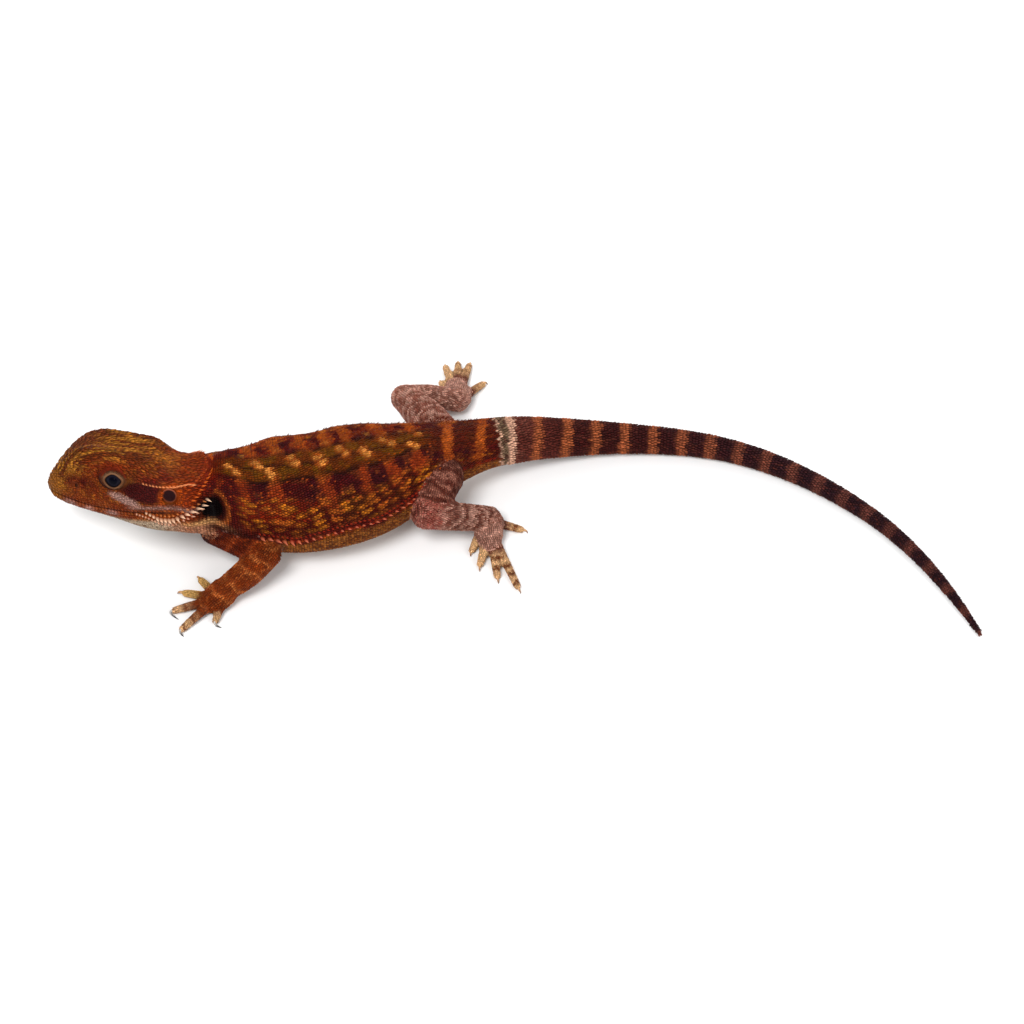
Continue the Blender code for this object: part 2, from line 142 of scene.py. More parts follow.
BODY_COAT = 0.2                # depth of the scales over the skin
LIMB_COAT = 0.17
DIGIT_COAT = 0.02
SKIN_VOXEL = 0.38
PATCH = 0.003                  # side of a scale's patch on its bake map
FLOOR_GAP = 0.01               # the least height of scales, spines and claws over the floor
HEAD_RANK = 37                 # creases are filled in behind this distance, and on the limbs
LIMB_RANK = 100.0
CREASE_ROUNDS = 12
BODY_SIDES = 220               # points round a ring of the body
LIMB_SIDES = 48


def smooth(at, curve):
    """Cubic through the curve's knots, whose slope at a knot is the mean of its two sides'."""
    knots, values = np.transpose(np.asarray(curve, float))
    rise = np.diff(values) / np.diff(knots)
    slope = np.concatenate([rise[:1], (rise[1:] + rise[:-1]) / 2, rise[-1:]])
    at = np.clip(at, knots[0], knots[-1])
    i = np.clip(np.searchsorted(knots, at, side="right") - 1, 0, len(knots) - 2)
    step = knots[i + 1] - knots[i]
    t = (at - knots[i]) / step
    rising = values[i] + (values[i + 1] - values[i]) * t * t * (3 - 2 * t)
    return rising + step * t * (1 - t) * (slope[i] * (1 - t) - slope[i + 1] * t)


def ease(at, start_end):
    """0 before the stretch, 1 after it, and level at both ends."""
    t = np.clip((at - start_end[0]) / (start_end[1] - start_end[0]), 0, 1)
    return t * t * (3 - 2 * t)


def hump(at, middle, half_width):
    """A bell: 1 at the middle and about a third at half_width from it."""
    return np.exp(-((at - middle) / half_width) ** 2)


def paired(first, second):
    """Two arrays of numbers, brought to one common shape."""
    return np.broadcast_arrays(np.asarray(first, float), np.asarray(second, float))


def unit(vectors):
    """The vectors made one long."""
    return vectors / np.maximum(np.linalg.norm(vectors, axis=-1, keepdims=True), THIN)


def ring_turns(count):
    """Turns in radians, evenly spaced round a ring, from the belly round by the back."""
    return np.linspace(-np.pi, np.pi, count, endpoint=False)


def circle(turn, first, second):
    """Directions round a ring: the cosine along its first axis and the sine along its second."""
    return np.cos(turn)[:, None] * first + np.sin(turn)[:, None] * second


def spine_at(distance):
    """(x, y, heading in radians) of the spine, its heading integrated from the snout's tip."""
    steps = np.linspace(0.0, BODY_LENGTH, 1000)
    heading = np.radians(smooth(steps, HEADING))
    ahead = np.stack([np.cos(heading[1:]), np.sin(heading[1:])]) * steps[1]
    travel = np.concatenate([np.zeros((2, 1)), np.cumsum(ahead, axis=1)], 1)
    x, y = travel + np.array(SNOUT)[:, None]
    return tuple(np.interp(distance, steps, value) for value in (x, y, heading))


def axis_height(distance):
    """The axis comes down until the tail's underside lies on the floor."""
    lying = smooth(distance, BELLY_DROP) - TAIL_SINK
    landed = ease(distance, TAIL_LANDING)
    return smooth(distance, AXIS_HEIGHT) * (1 - landed) + lying * landed


def head_section(distance, turn):
    """(across, up) of the head: a cubic through seven meridians, 30 degrees of turn apart."""
    width = smooth(distance, CHEEK_WIDTH)
    brow = smooth(distance, BROW_WIDTH)
    ridge = smooth(distance, BROW_HEIGHT)
    chin = smooth(distance, CHIN_DEPTH)
    zero = np.zeros_like(width)
    across = np.stack([zero, brow, (brow + 2 * width) / 3, width, 0.92 * width, 0.48 * width, zero])
    up = np.stack([smooth(distance, CROWN_HEIGHT), ridge, 0.52 * ridge, smooth(distance, LIP_HEIGHT),
                   -smooth(distance, JAW_DEPTH), -0.93 * chin, -chin])
    across = np.concatenate([-across[1:2], across, -across[-2:-1]])
    up = np.concatenate([up[1:2], up, up[-2:-1]])
    place = np.clip(np.abs(turn) / (np.pi / 6), 0, 6 - 1e-9)
    i = place.astype(int)
    t = place - i
    weights = ((-t + 2 * t**2 - t**3) / 2, (2 - 5 * t**2 + 3 * t**3) / 2,
               (t + 4 * t**2 - 3 * t**3) / 2, (t**3 - t**2) / 2)
    column = np.arange(np.size(distance))
    a = sum(w * across[i + k, column] for k, w in enumerate(weights))
    u = sum(w * up[i + k, column] for k, w in enumerate(weights))
    return np.where(turn < 0, -a, a), u


def body_points(distance, turn, swell=0.0, relief=None):
    """Points of the body. A turn of 0 is the back, +90 degrees the left flank, 180 the belly.

    A ring is half an ellipse over the axis and half of another under it, and blends into the
    head's section at the neck. It is swollen outwards, rolled, and set square to the spine.
    """
    distance, turn = paired(distance, turn)
    shape = distance.shape
    distance, turn = distance.ravel(), turn.ravel()
    if relief is not None:
        swell = swell + relief(distance, turn)
    x, y, heading = spine_at(distance)
    rise = smooth(distance, BACK_RISE)
    drop = smooth(distance, BELLY_DROP)
    across = smooth(distance, HALF_WIDTH) * np.sin(turn)
    up = np.where(np.cos(turn) > 0, rise, drop) * np.cos(turn)
    head_across, head_up = head_section(distance, turn)
    neck = ease(distance, NECK_BLEND)
    across = across * neck + head_across * (1 - neck) + swell * np.sin(turn)
    up = up * neck + head_up * (1 - neck) + swell * np.cos(turn)
    roll = np.radians(HEAD_ROLL) * (1 - ease(distance, ROLL_END))
    left = across * np.cos(roll) - up * np.sin(roll)
    points = np.stack([x + left * np.sin(heading), y - left * np.cos(heading),
                       axis_height(distance) + up * np.cos(roll) + across * np.sin(roll)], -1)
    points[:, 2] = np.maximum(points[:, 2], BODY_COAT)
    return points.reshape(shape + (3,))


class Tube:
    """A round limb about a smooth line through a chain of points, ending in half balls.

    `along` is the distance in mm from the chain's start, and goes one radius beyond both ends.
    """

    def __init__(self, chain, radii, spread=1.0, coat=LIMB_COAT):
        knots = np.linspace(0, 1, len(chain))
        fine = np.linspace(0, 1, TUBE_STEPS)
        self.line = np.stack([smooth(fine, np.transpose([knots, v])) for v in np.transpose(chain)], 1)
        self.girth = smooth(fine, np.transpose([knots, radii])) - coat
        step = np.linalg.norm(np.diff(self.line, axis=0), axis=1)
        self.at = np.concatenate([[0], np.cumsum(step)])
        self.ahead = unit(np.gradient(self.line, self.at, axis=0))
        self.spread = spread
        self.coat = coat
        self.first = -self.girth[0]
        self.last = self.at[-1] + self.girth[-1]

    def __call__(self, along, turn):
        """Points round the line at a distance along it: a circle stretched sideways by spread."""
        along, turn = paired(along, turn)
        inside = np.clip(along, 0, self.at[-1])
        centre = np.stack([np.interp(inside, self.at, v) for v in self.line.T], -1)
        ahead = np.stack([np.interp(inside, self.at, v) for v in self.ahead.T], -1)
        radius = np.interp(inside, self.at, self.girth)
        beyond = along - inside
        radius = np.sqrt(np.maximum(radius**2 - beyond**2, 1e-6))
        side = unit(np.cross((0.0, 0.0, 1.0), ahead))
        up = np.cross(ahead, side)
        points = (centre + ahead * beyond[..., None]
                  + side * (np.sin(turn) * radius * self.spread)[..., None]
                  + up * (np.cos(turn) * radius)[..., None])
        points[..., 2] = np.maximum(points[..., 2], self.coat)
        return points


def head_axes(place, side):
    """A place in the head and its own directions: (centre, back, outward, crown)."""
    distance, across, up = place
    x, y, heading = spine_at(distance)
    roll = np.radians(HEAD_ROLL)
    back = np.array((np.cos(heading), np.sin(heading), 0.0))
    left = np.array((np.sin(heading) * np.cos(roll), -np.cos(heading) * np.cos(roll), np.sin(roll)))
    crown = np.cross(left, back)
    centre = np.array((x, y, axis_height(distance))) + left * across * side + crown * up
    return centre, back, left * side, crown


def mirrored_hand():
    """The left hand turned over a line along its forearm, then laid at the right wrist."""
    (chain, radii), digits = FEET["hand_left"]
    wrist = chain[0]
    old, new = np.radians(LEFT_HAND_TURN), np.radians(RIGHT_HAND_TURN)

    def moved(point):
        """The point's place ahead of and beside the old wrist, at the new wrist and mirrored."""
        ahead, across = point[0] - wrist[0], point[1] - wrist[1]
        forward = ahead * np.cos(old) + across * np.sin(old)
        aside = -ahead * np.sin(old) + across * np.cos(old)
        return (RIGHT_WRIST[0] + forward * np.cos(new) + aside * np.sin(new),
                RIGHT_WRIST[1] + forward * np.sin(new) - aside * np.cos(new))

    chain = tuple(moved(point) + (point[2],) for point in chain)
    return (chain, radii), tuple(tuple(moved(point) for point in digit) for digit in digits)


# ---- Noise, spots and colours ------------------------------------------------------------------

FAR_OFF = 9.0                  # farther from a spot's middle than its colour reaches


def scatter(u, v, seed):
    """A fixed random number from 0 to 1 for each (u, v): the fraction of a very large sine."""
    value = np.sin(u * 127.1 + v * 311.7 + seed * 74.7) * 43758.5453
    return value - np.floor(value)


def noise(u, v, seed=0):
    """Random numbers at whole (u, v), blended smoothly between."""
    iu, iv = np.floor(u), np.floor(v)
    fu, fv = ease(u - iu, (0, 1)), ease(v - iv, (0, 1))
    low = scatter(iu, iv, seed) * (1 - fu) + scatter(iu + 1, iv, seed) * fu
    high = scatter(iu, iv + 1, seed) * (1 - fu) + scatter(iu + 1, iv + 1, seed) * fu
    return low * (1 - fv) + high * fv


def spots(u, v, size, seed=0, wander=0.3):
    """Soft spots, one in each unit cell, every other row of cells shifted by a half."""
    row = np.floor(v)
    best = np.full(np.shape(u), FAR_OFF)
    for dv in (-1, 0, 1):
        line = row + dv
        shifted = u + 0.5 * (line % 2)
        cell = np.floor(shifted)
        for du in (-1, 0, 1):
            cu = cell + du
            x = cu + 0.5 + wander * (scatter(cu, line, seed) - 0.5) * 2
            y = line + 0.5 + wander * (scatter(cu, line, seed + 5) - 0.5) * 2
            best = np.minimum(best, np.hypot(shifted - x, v - y))
    return np.exp(-(best / size) ** 2)


def linear(red, green, blue):
    """A colour as it looks, from 0 to 255, as the light it stands for.

    The curve is steeper than a screen's, because the room's light lifts every dark colour.
    """
    return 1.25 * (np.array((red, green, blue)) / 255.0) ** 2.8


def over(base, *coats):
    """Colours laid over the base one after another, each by its own weight."""
    for colour, weight in coats:
        weight = np.clip(weight, 0, 1)[..., None]
        base = base * (1 - weight) + colour * weight
    return base


OLIVE = linear(114, 62, 14)
OLIVE_GREEN = linear(118, 86, 14)
OLIVE_FOLD_SHADE = linear(64, 24, 12)
YELLOW = linear(210, 145, 78)
ORANGE_RED = linear(150, 70, 32)
BAR_ORANGE = linear(176, 98, 44)
FAR_ORANGE = linear(146, 66, 32)
MAROON = linear(92, 29, 25)
PLUM = linear(76, 23, 31)
FLANK = linear(88, 31, 12)
FLANK_GREEN = linear(92, 58, 14)
FLANK_SHOULDER = linear(128, 46, 12)
FLANK_LOW = linear(84, 24, 5)
OCHRE = linear(186, 118, 42)
FRINGE_RED = linear(144, 50, 28)
BELLY_EDGE = linear(154, 102, 54)
BELLY_TAN = linear(190, 150, 116)
RUST = linear(146, 80, 46)
CREAM = linear(206, 166, 144)
CROWN_GOLD = linear(174, 122, 54)
CROWN_BROWN = linear(118, 66, 32)
CROWN_PURPLE = linear(128, 76, 54)
CROWN_REAR = linear(164, 84, 26)
BROW_ORANGE = linear(136, 60, 26)
SNOUT_OCHRE = linear(168, 112, 50)
SNOUT_SIDE = linear(138, 64, 26)
SNOUT_STRIPE = linear(92, 30, 18)
TEMPLE_BAND = linear(120, 46, 32)
NOSTRIL_RIM = linear(158, 84, 44)
CHEEK_MAROON = linear(88, 34, 32)
EAR_ORANGE = linear(148, 66, 16)
EAR_RIM = linear(176, 88, 30)
LIP_ORANGE = linear(134, 66, 32)
LIP_FLECK = linear(160, 92, 48)
MOUTH_BROWN = linear(60, 24, 20)
PALE_PINK = linear(172, 138, 128)
THROAT_GREY = linear(186, 166, 144)
THROAT_BROWN = linear(120, 84, 60)
THROAT_REAR = linear(176, 110, 76)
NAPE_RUST = linear(122, 38, 12)
COLLAR_RIM = linear(172, 100, 50)
BEARD_PALE = linear(206, 160, 112)
# Near black: painted shade in the nostrils and in the hollow behind the jaw
RECESS_SHADE = linear(28, 9, 12)
TAIL_DARK = linear(78, 36, 33)
TAIL_ROOT_DARK = linear(104, 56, 48)
TAIL_MOTTLE = linear(104, 60, 50)
TAIL_TIP_DARK = linear(64, 40, 46)
TAIL_BAND = linear(168, 102, 68)
TAIL_ROOT_BAND = linear(128, 82, 70)
TAIL_END_BAND = linear(116, 74, 66)
TAIL_GREY = linear(128, 108, 88)
LEG_MAUVE = linear(118, 74, 62)
LEG_PINK = linear(196, 154, 138)
KNEE_PINK = linear(172, 100, 90)
ARM_BROWN = linear(120, 60, 22)
ARM_PALE = linear(180, 112, 66)
TOE_TAN = linear(197, 162, 122)
TOE_YELLOW = linear(206, 168, 96)
TOE_BROWN = linear(126, 74, 46)
THIGH_SHADE = (0.68, 0.50, 0.46)
UPPER_ARM_SHADE = (0.68, 0.42, 0.35)

# Middles of the flanks' bars as distances, and of the back's yellow blotches: (distance, degrees)
LEFT_BARS = np.array((38.5, 44.7, 53.6, 60.9, 66.4, 71.8, 80.5, 87.9))
RIGHT_BARS = np.array((40.4, 45.4, 50.9, 55.6, 60.2, 67.4, 73.4, 80.5, 87.9))
BLOTCHES = ((36.2, 7), (37.4, 13), (41.3, -2), (42.0, 3), (43.9, 9.5), (44.6, 15), (48.4, -4),
            (49.1, 4), (53.3, 1), (53.9, 7.5), (57.9, -4), (58.9, 2.5), (62.2, 4), (63.0, 10),
            (66.9, -3), (68.1, 4), (71.5, 12), (72.5, 18), (74.5, 0), (38.6, -14), (46.0, -17),
            (55.5, -16), (64.6, -17), (71.0, -12))
BLOTCH_SIZE = (0.95, 4.6)      # half-length in mm, half-width in degrees
MIDLINE = ((33, 5), (66, 5.5), (73, 7.5), (80, 16), (90, 20), (100, 26), (207, 30))
FRINGE_LINE = ((33, 90), (42, 88), (47.6, 87.5), (52.8, 81), (57.7, 79), (61.8, 81), (66.4, 78),
               (92, 80))
MOUTH_LINE = ((0, -0.1), (2, -0.2), (6, -0.9), (10, -1.5), (14, -1.5), (18.3, -1.1), (23.5, -0.1),
              (27.5, 0.6))
HOLLOW_PLACE = (33.1, 68.0)    # the hollow behind the jaw: distance, degrees of turn
NOSTRIL = (6.9, 2.4)           # distance, height in the head
EAR_MIDDLE = (EAR_PLACE[0], EAR_PLACE[2])
EYE_MIDDLE = (EYE_PLACE[0], EYE_PLACE[2])
EYE_TURN = 76                  # degrees of turn at the eye
HEAD_GIRTH = 8.5               # radius by which turns on the head become lengths
TAIL_BANDS = (100.3, 5.95)     # the first band's middle, and their spacing
TAIL_START = 91.45             # the change of colour behind the hips
GREY_END = 94.3                # the end of the grey ring
TAIL_TILT = ((90, 1.1), (100, 1.2), (106, 0.8), (112, 0.6), (118, 0.25), (207, 0.1))
TAIL_SHIFT = ((90, 0.1), (112, 0.1), (118, 0.35), (124, 0.55), (207, 0.6))
HIPS = (74, 78)                # where the trunk's pattern gives way to the hips' slanting bars
ARM_BARS = (3.6, 0.13)         # spacing in mm, and half-width as a part of it
LEG_BARS = (2.5, 0.22)
FINGER_BARS = (2.4, 0.22)
TOE_BARS = (2.2, 0.22)


def off_middle(distance, up, middle, reach=(1, 1)):
    """How far a place on the head's side lies from a middle, in parts of the reach each way."""
    return np.hypot((distance - middle[0]) / reach[0], (up - middle[1]) / reach[1])


def patch(bell, fine, low=0.42, high=0.75):
    """A bell cut off into a patch, whose edge is as ragged as single scales."""
    return ease(bell + 0.5 * fine, (low, high))


def tail_colour(distance, degrees):
    """Dark plum with evenly spaced rust bands that fade and turn purple towards the tip.

    The bands are tilted rings: a sine of the turn sets how far forward each place of one lies.
    """
    tilt = smooth(distance, TAIL_TILT) * (1 + np.sin(np.radians(degrees - 42)))
    wave = distance + tilt + smooth(distance, TAIL_SHIFT)
    wave = wave + 0.5 * (noise(distance * 0.9, degrees / 16, 3) - 0.5)
    fine = noise(distance * 2.2, degrees / 6, 7) - 0.5
    first, spacing = TAIL_BANDS
    phase = (wave - first) / spacing
    to_band = np.abs(phase - np.maximum(np.rint(phase), 0)) * spacing
    age = ease(distance, (106, 165))
    grey = wave < GREY_END
    dark = over(
        TAIL_DARK,
        (TAIL_TIP_DARK, age),
        (TAIL_ROOT_DARK, 1 - ease(distance, (99, 108))),
        (TAIL_MOTTLE, 0.5 * ease(noise(distance * 1.1, degrees / 12, 6), (0.5, 0.9))),
    )
    return over(
        dark,
        (over(TAIL_BAND, (TAIL_END_BAND, age)),
         0.9 * patch(hump(to_band, 0, 1.25 + 0.2 * age), 0.8 * fine, 0.25, 0.9)),
        (TAIL_ROOT_BAND, 0.7 * hump(wave, 96.4, 2.4) * ease(fine, (-0.3, 0.3))),
        (TAIL_GREY, grey * (0.8 + 0.2 * noise(distance, degrees / 8, 8))),
        (TAIL_DARK * 1.2, 0.7 * grey * ease(noise(distance * 2, degrees / 7, 9), (0.5, 0.8))),
        (CREAM, 1.05 * patch(hump(wave, 94.6, 0.95), 0.6 * fine, 0.3, 0.7)),
        (BELLY_TAN * 0.7, 0.45 * ease(np.abs(degrees), (115, 150))),
    )


def trunk_colour(distance, degrees):
    """An olive band with yellow blotches, orange bars on maroon, a spotted flank, a tan belly.

    Each pattern is a bell about its bars' or blotches' middles, cut off raggedly by noise as
    fine as scales. The hips' bars run across at a slant: a line of the distance and the turn.
    """
    warp = 1.5 * (noise(distance / 2.6, degrees / 13, 1) - 0.5)
    turned = degrees - smooth(distance, MIDLINE) + 5 * (noise(distance / 2.2, degrees / 18, 18) - 0.5)
    away = np.abs(turned)
    fine = noise(distance * 2.1, degrees / 2.3, 12) - 0.5
    rough = noise(distance * 0.9, degrees / 6, 22) - 0.5
    hips = ease(distance, HIPS)
    wave = distance + warp * (1 - 0.6 * hips) + 0.047 * np.clip(degrees, -60, 70) * hips
    left, right = (np.min(np.abs(wave[..., None] - bars), axis=-1) for bars in (LEFT_BARS, RIGHT_BARS))
    to_bar = np.where(turned >= 0, left, right)
    bar_bell = hump(to_bar, 0, 1.45)
    near = np.full(np.shape(distance), FAR_OFF)
    for place, angle in BLOTCHES:
        ahead = (distance + 0.5 * warp - place) / BLOTCH_SIZE[0]
        near = np.minimum(near, np.hypot(ahead, (degrees - angle) / BLOTCH_SIZE[1]))
    blotch = hump(near, 0, 1.0)
    yellow = YELLOW * (1 - 0.3 * (turned < -2))[..., None]
    side_line = 14.5 + 1.5 * noise(distance / 3, 0.0, 15)
    olive = over(
        OLIVE,
        (OLIVE_GREEN, 0.6 * ease(noise(distance * 0.8, degrees / 6, 14), (0.4, 0.8))),
        (MAROON * 1.3, 0.7 * hips),
        # painted shade: dark lines along the middle of the back and along each side, where the skin folds
        (OLIVE_FOLD_SHADE, 0.85 * (hump(away, 0, 1.5) + 0.9 * hump(away, side_line, 2.2))),
        (BAR_ORANGE, 0.95 * hips * patch(bar_bell, fine, 0.35, 0.8)),
        (BAR_ORANGE * 0.9, 0.75 * ease(blotch + 0.4 * fine, (0.1, 0.5))),
        (yellow, patch(blotch, 1.4 * fine, 0.38, 0.78)),
    )

    bar = over(BAR_ORANGE, (ORANGE_RED, ease(away + 14 * rough, (14, 24)) * (1 - 0.7 * hips)))
    saddle = over(
        MAROON,
        (PLUM, ease(noise(distance / 2, degrees / 12, 16), (0.4, 0.8))),
        (RUST * 0.55, 0.8 * ease(rough + 0.6 * fine, (0.0, 0.4))),
        (bar, 0.85 * patch(bar_bell, fine + 0.7 * rough, 0.28, 0.85)),
    )
    ripple = 3.5 * (noise(distance * 0.7, 0.0, 9) - 0.5)
    border = 15.8 + 3 * (noise(distance / 1.7, 0.0, 15) - 0.5)

    row = away / 8.0
    spot = spots(distance / 2.7 + 0.25 * row, row, 0.40, 2, 0.24)
    warm = ease(noise(distance / 3, degrees / 14, 19), (0.3, 0.6))
    ochre = over(OCHRE, (BAR_ORANGE * 0.85, 0.85 * warm))
    bright = patch(spot + 0.35 * (hump(to_bar, 0, 2.6) - 0.6) + 0.4 * rough, 1.2 * fine, 0.42, 0.9)
    flank = over(
        FLANK,
        (FLANK_GREEN, 0.4 * ease(noise(distance / 2, degrees / 10, 20), (0.4, 0.8))),
        (FLANK_SHOULDER, 0.8 * (1 - ease(distance + 8 * rough, (44, 56)))),
        (FLANK_LOW, 0.9 * ease(away, (54, 66)) * (1 - hips)),
        (ORANGE_RED * 0.8, 0.7 * patch(bar_bell * hump(away, 38, 13), fine, 0.3, 0.8)),
        (ochre * 0.45, 0.5 * ease(spot, (0.15, 0.5))),
        (ochre, bright * (1 - 0.5 * ease(away, (56, 70)))),
    )
    wavy = away + 7 * (noise(distance / 2.4, 0.0, 4) - 0.5)
    far_row = (turned < 0) * hump(away, 34, 16) * (1 - hips)
    far_bar = ease(bar_bell + 1.2 * rough + 0.5 * fine, (-0.1, 0.6))
    far_tone = over(FAR_ORANGE, (OCHRE, 0.4 * ease(bar_bell + fine, (0.3, 0.9))))

    hem = np.abs(degrees)
    line = smooth(distance, FRINGE_LINE)
    edge = over(BELLY_EDGE, (FLANK, 0.7 * ease(fine, (-0.1, 0.2))))
    chest = ease(hem + 8 * rough, (80, 90)) * (1 - ease(distance, (40, 45)))
    # the chest's own maroon with pale pink flecks, darkened to half as painted shade
    flecks_in_shade = over(MAROON * 0.5, (PALE_PINK * 0.5, 0.7 * ease(fine, (0.3, 0.42))))
    belly_edge = 118 + 20 * (1 - ease(distance, (40, 46)))
    return over(
        olive,
        (saddle, ease(away - 15.5 - 9 * hips - ripple, (-2.5, 2.5))),
        # painted shade: a dark line along the fold at the olive band's edge
        (OLIVE_FOLD_SHADE * 0.7, 0.85 * hump(away, border, 1.5) * (1 - bar_bell * 0.6) * (1 - hips)),
        (yellow * 0.8, 0.6 * patch(blotch, fine, 0.40, 0.75) * (away > 14)),
        (flank, ease(wavy, (33, 42)) * (1 - 0.6 * hips)),
        (far_tone, 0.8 * far_row * far_bar),
        (MAROON * 0.9, 0.8 * hump(hem, line - 4, 5.5) * ease(distance, (34, 40))),
        (FRINGE_RED, 0.75 * hump(hem, line + 0.5, 3.0) * ease(fine, (-0.3, 0.1))),
        (edge, 0.9 * ease(hem - line, (3, 9))),
        (flecks_in_shade, 0.95 * chest),
        (BELLY_TAN, 0.9 * ease(hem, (belly_edge, belly_edge + 30))),
    )


def head_colour(distance, degrees, up):
    """Golden streaks on a brown crown, orange brow, maroon cheek, and a pale lip and throat.

    The streaks follow ovals about the eye, so that they arch over the brow and run back along
    the crown.
    """
    beside = np.abs(degrees)
    on_side = beside < 150

    def dab(middle, length, height, tall):
        """A soft dab on the head's side: a bell along it times a bell up it."""
        return hump(distance, middle, length) * hump(up, height, tall) * on_side

    def oval(reach, middle, length, height, tall):
        """An oval on the head's side, whose edge is soft and lies at its reach."""
        place = off_middle(distance, up, (middle, height), (length, tall))
        return ease(reach - place, (0, 0.6)) * on_side

    above_eye = np.radians(EYE_TURN - beside) * HEAD_GIRTH
    behind_eye = (distance - EYE_MIDDLE[0]) * 0.72
    ring = np.hypot(behind_eye, above_eye)
    bend = 1.2 * noise(distance / 3.5, degrees / 14, 10)
    streak = noise(ring / 0.52 + bend, np.arctan2(above_eye, behind_eye) * 3.4 + 0.2 * ring, 11)
    fine = noise(distance * 2.3, degrees / 2.6, 13) - 0.5
    brow = hump(off_middle(distance, up, (14.8, 7.6), (5.2, 1.25)), 0, 1)
    side = ease(5.6 - up, (0, 1.6)) * ease(distance, (3.0, 6.0)) * (1 - ease(distance, (17, 20)))
    nose, ear = (off_middle(distance, up, middle) for middle in (NOSTRIL, EAR_MIDDLE))
    mouth = smooth(distance, MOUTH_LINE)
    lip = ease(mouth + 2.0 - up, (0, 0.9)) * ease(up - mouth + 1.9, (0, 0.5)) * on_side
    chips = hump(distance, 5.4, 1.2) + hump(distance, 9.6, 0.9) + hump(distance, 14.6, 1.2)
    throat = over(
        THROAT_GREY,
        (THROAT_BROWN, 0.75 * ease(noise(distance * 1.9, degrees / 3.4, 21), (0.55, 0.85))),
        (THROAT_REAR, 0.7 * ease(distance, (24, 30))),
    )
    return over(
        CROWN_BROWN,
        (CROWN_GOLD, ease(streak + 0.5 * fine, (0.34, 0.70))),
        (CROWN_BROWN * 0.6, 0.5 * ease(noise(distance / 1.5, degrees / 9, 17), (0.5, 0.9))),
        (CROWN_PURPLE, 0.85 * hump(distance, 6.5, 3.8) * hump(degrees, -14, 24)),
        (CROWN_REAR, 0.5 * ease(distance, (18, 24)) * (0.7 + fine)),
        (EAR_ORANGE * 0.9, 0.7 * ease(distance, (23.5, 29))),
        (BROW_ORANGE, 1.15 * brow),
        (CROWN_BROWN * 0.8, 0.75 * dab(18.6, 2.2, 6.6, 0.9)),
        (BROW_ORANGE, 0.75 * dab(10.4, 2.4, 5.4, 1.6)),
        (SNOUT_SIDE, 0.75 * side * on_side * (0.8 + 0.5 * fine)),
        (TEMPLE_BAND, dab(22.4, 5.2, 5.8, 1.2)),
        (CHEEK_MAROON, oval(1.5, 21.2, 3.7, 3.3, 1.7)),
        (SNOUT_STRIPE, dab(7.6, 3.6, 3.3, 1.1)),
        (NOSTRIL_RIM, 0.8 * hump(nose, 0.85, 0.3) * on_side),
        # painted shade: the nostril's hole is coloured near black
        (RECESS_SHADE, 1.3 * hump(nose, 0, 0.5) * on_side),
        (EAR_ORANGE, 0.95 * oval(1.3, 29.9, 2.6, 3.0, 2.9)),
        (EAR_RIM, 0.95 * hump(ear, 1.82, 0.42) * on_side),
        (LIP_ORANGE, 0.95 * lip * (0.8 + 0.5 * fine)),
        (LIP_FLECK, 0.6 * lip * ease(noise(distance * 1.3, up * 1.6, 30), (0.55, 0.8))),
        (PALE_PINK, oval(1.25, 17.4, 3.5, 1.35 - 0.16 * (distance - 17), 0.85)),
        (PALE_PINK * 0.8, 0.85 * ease(distance, (17, 20)) * hump(up, mouth + 0.95, 0.34) * on_side),
        (throat, np.maximum(ease(mouth - 1.35 - up, (0, 0.9)), ease(beside, (140, 150)))),
        (PALE_PINK * 1.1, 1.1 * chips * hump(up, mouth - 0.75, 0.4) * on_side),
        (SNOUT_OCHRE, 0.95 * ease(4.6 - distance, (0, 3)) * ease(5.0 - up, (0, 2)) * on_side),
        (MOUTH_BROWN, 0.9 * hump(up, mouth, 0.2) * (1 - ease(distance, (26, 28))) * on_side),
        (SNOUT_OCHRE, 0.4 * dab(3.5, 2.5, 0.8, 0.9)),
    )


def body_colour(distance, turn):
    """The head's, trunk's and tail's markings, joined at the nape and behind the hips."""
    distance, turn = paired(distance, turn)
    shape = distance.shape
    distance, turn = distance.ravel(), turn.ravel()
    degrees = np.degrees(turn)
    beside = np.abs(degrees)
    _, up = head_section(distance, turn)
    ragged = distance + 1.6 * (noise(degrees / 9, 0.0, 40) - 0.5)
    collar = np.hypot((distance - HOLLOW_PLACE[0]) / 2.3, (beside - HOLLOW_PLACE[1]) / 21)
    neck = hump(distance, 35.2, 3.0) * ease(beside, (22, 34)) * (1 - ease(beside, (80, 92)))
    ruddy = ease(noise(distance * 1.4, degrees / 5, 43), (0.5, 0.9))
    jagged = TAIL_START + 1.2 * (noise(degrees / 7, 0.0, 41) - 0.5)
    past = distance + 0.75 * (1 + np.sin(turn - 0.5)) - jagged
    colour = over(
        head_colour(distance, degrees, up),
        (trunk_colour(distance, degrees), ease(ragged, (31.4, 34.4))),
        (NAPE_RUST, 0.8 * hump(distance, 32.8, 2.4) * ease(75 - beside, (0, 30))),
        (over(MAROON, (ORANGE_RED, 0.6 * ruddy)), 1.3 * neck),
        (COLLAR_RIM, 0.95 * hump(collar, 1.22, 0.13) * (distance > 33.4)),
        (BEARD_PALE, 1.1 * hump(distance, 31.6, 2.8) * hump(beside, 91, 4)),
        # painted shadow: the hollow behind the jaw is coloured near black, over its real dip in the skin
        (RECESS_SHADE, 2.4 * hump(collar, 0, 0.95) - 0.3),
        (tail_colour(distance, degrees), ease(past, (-0.12, 0.12))),
        (CREAM, 0.75 * hump(past, 0.2, 0.28)),
    )
    return colour.reshape(shape + (3,))


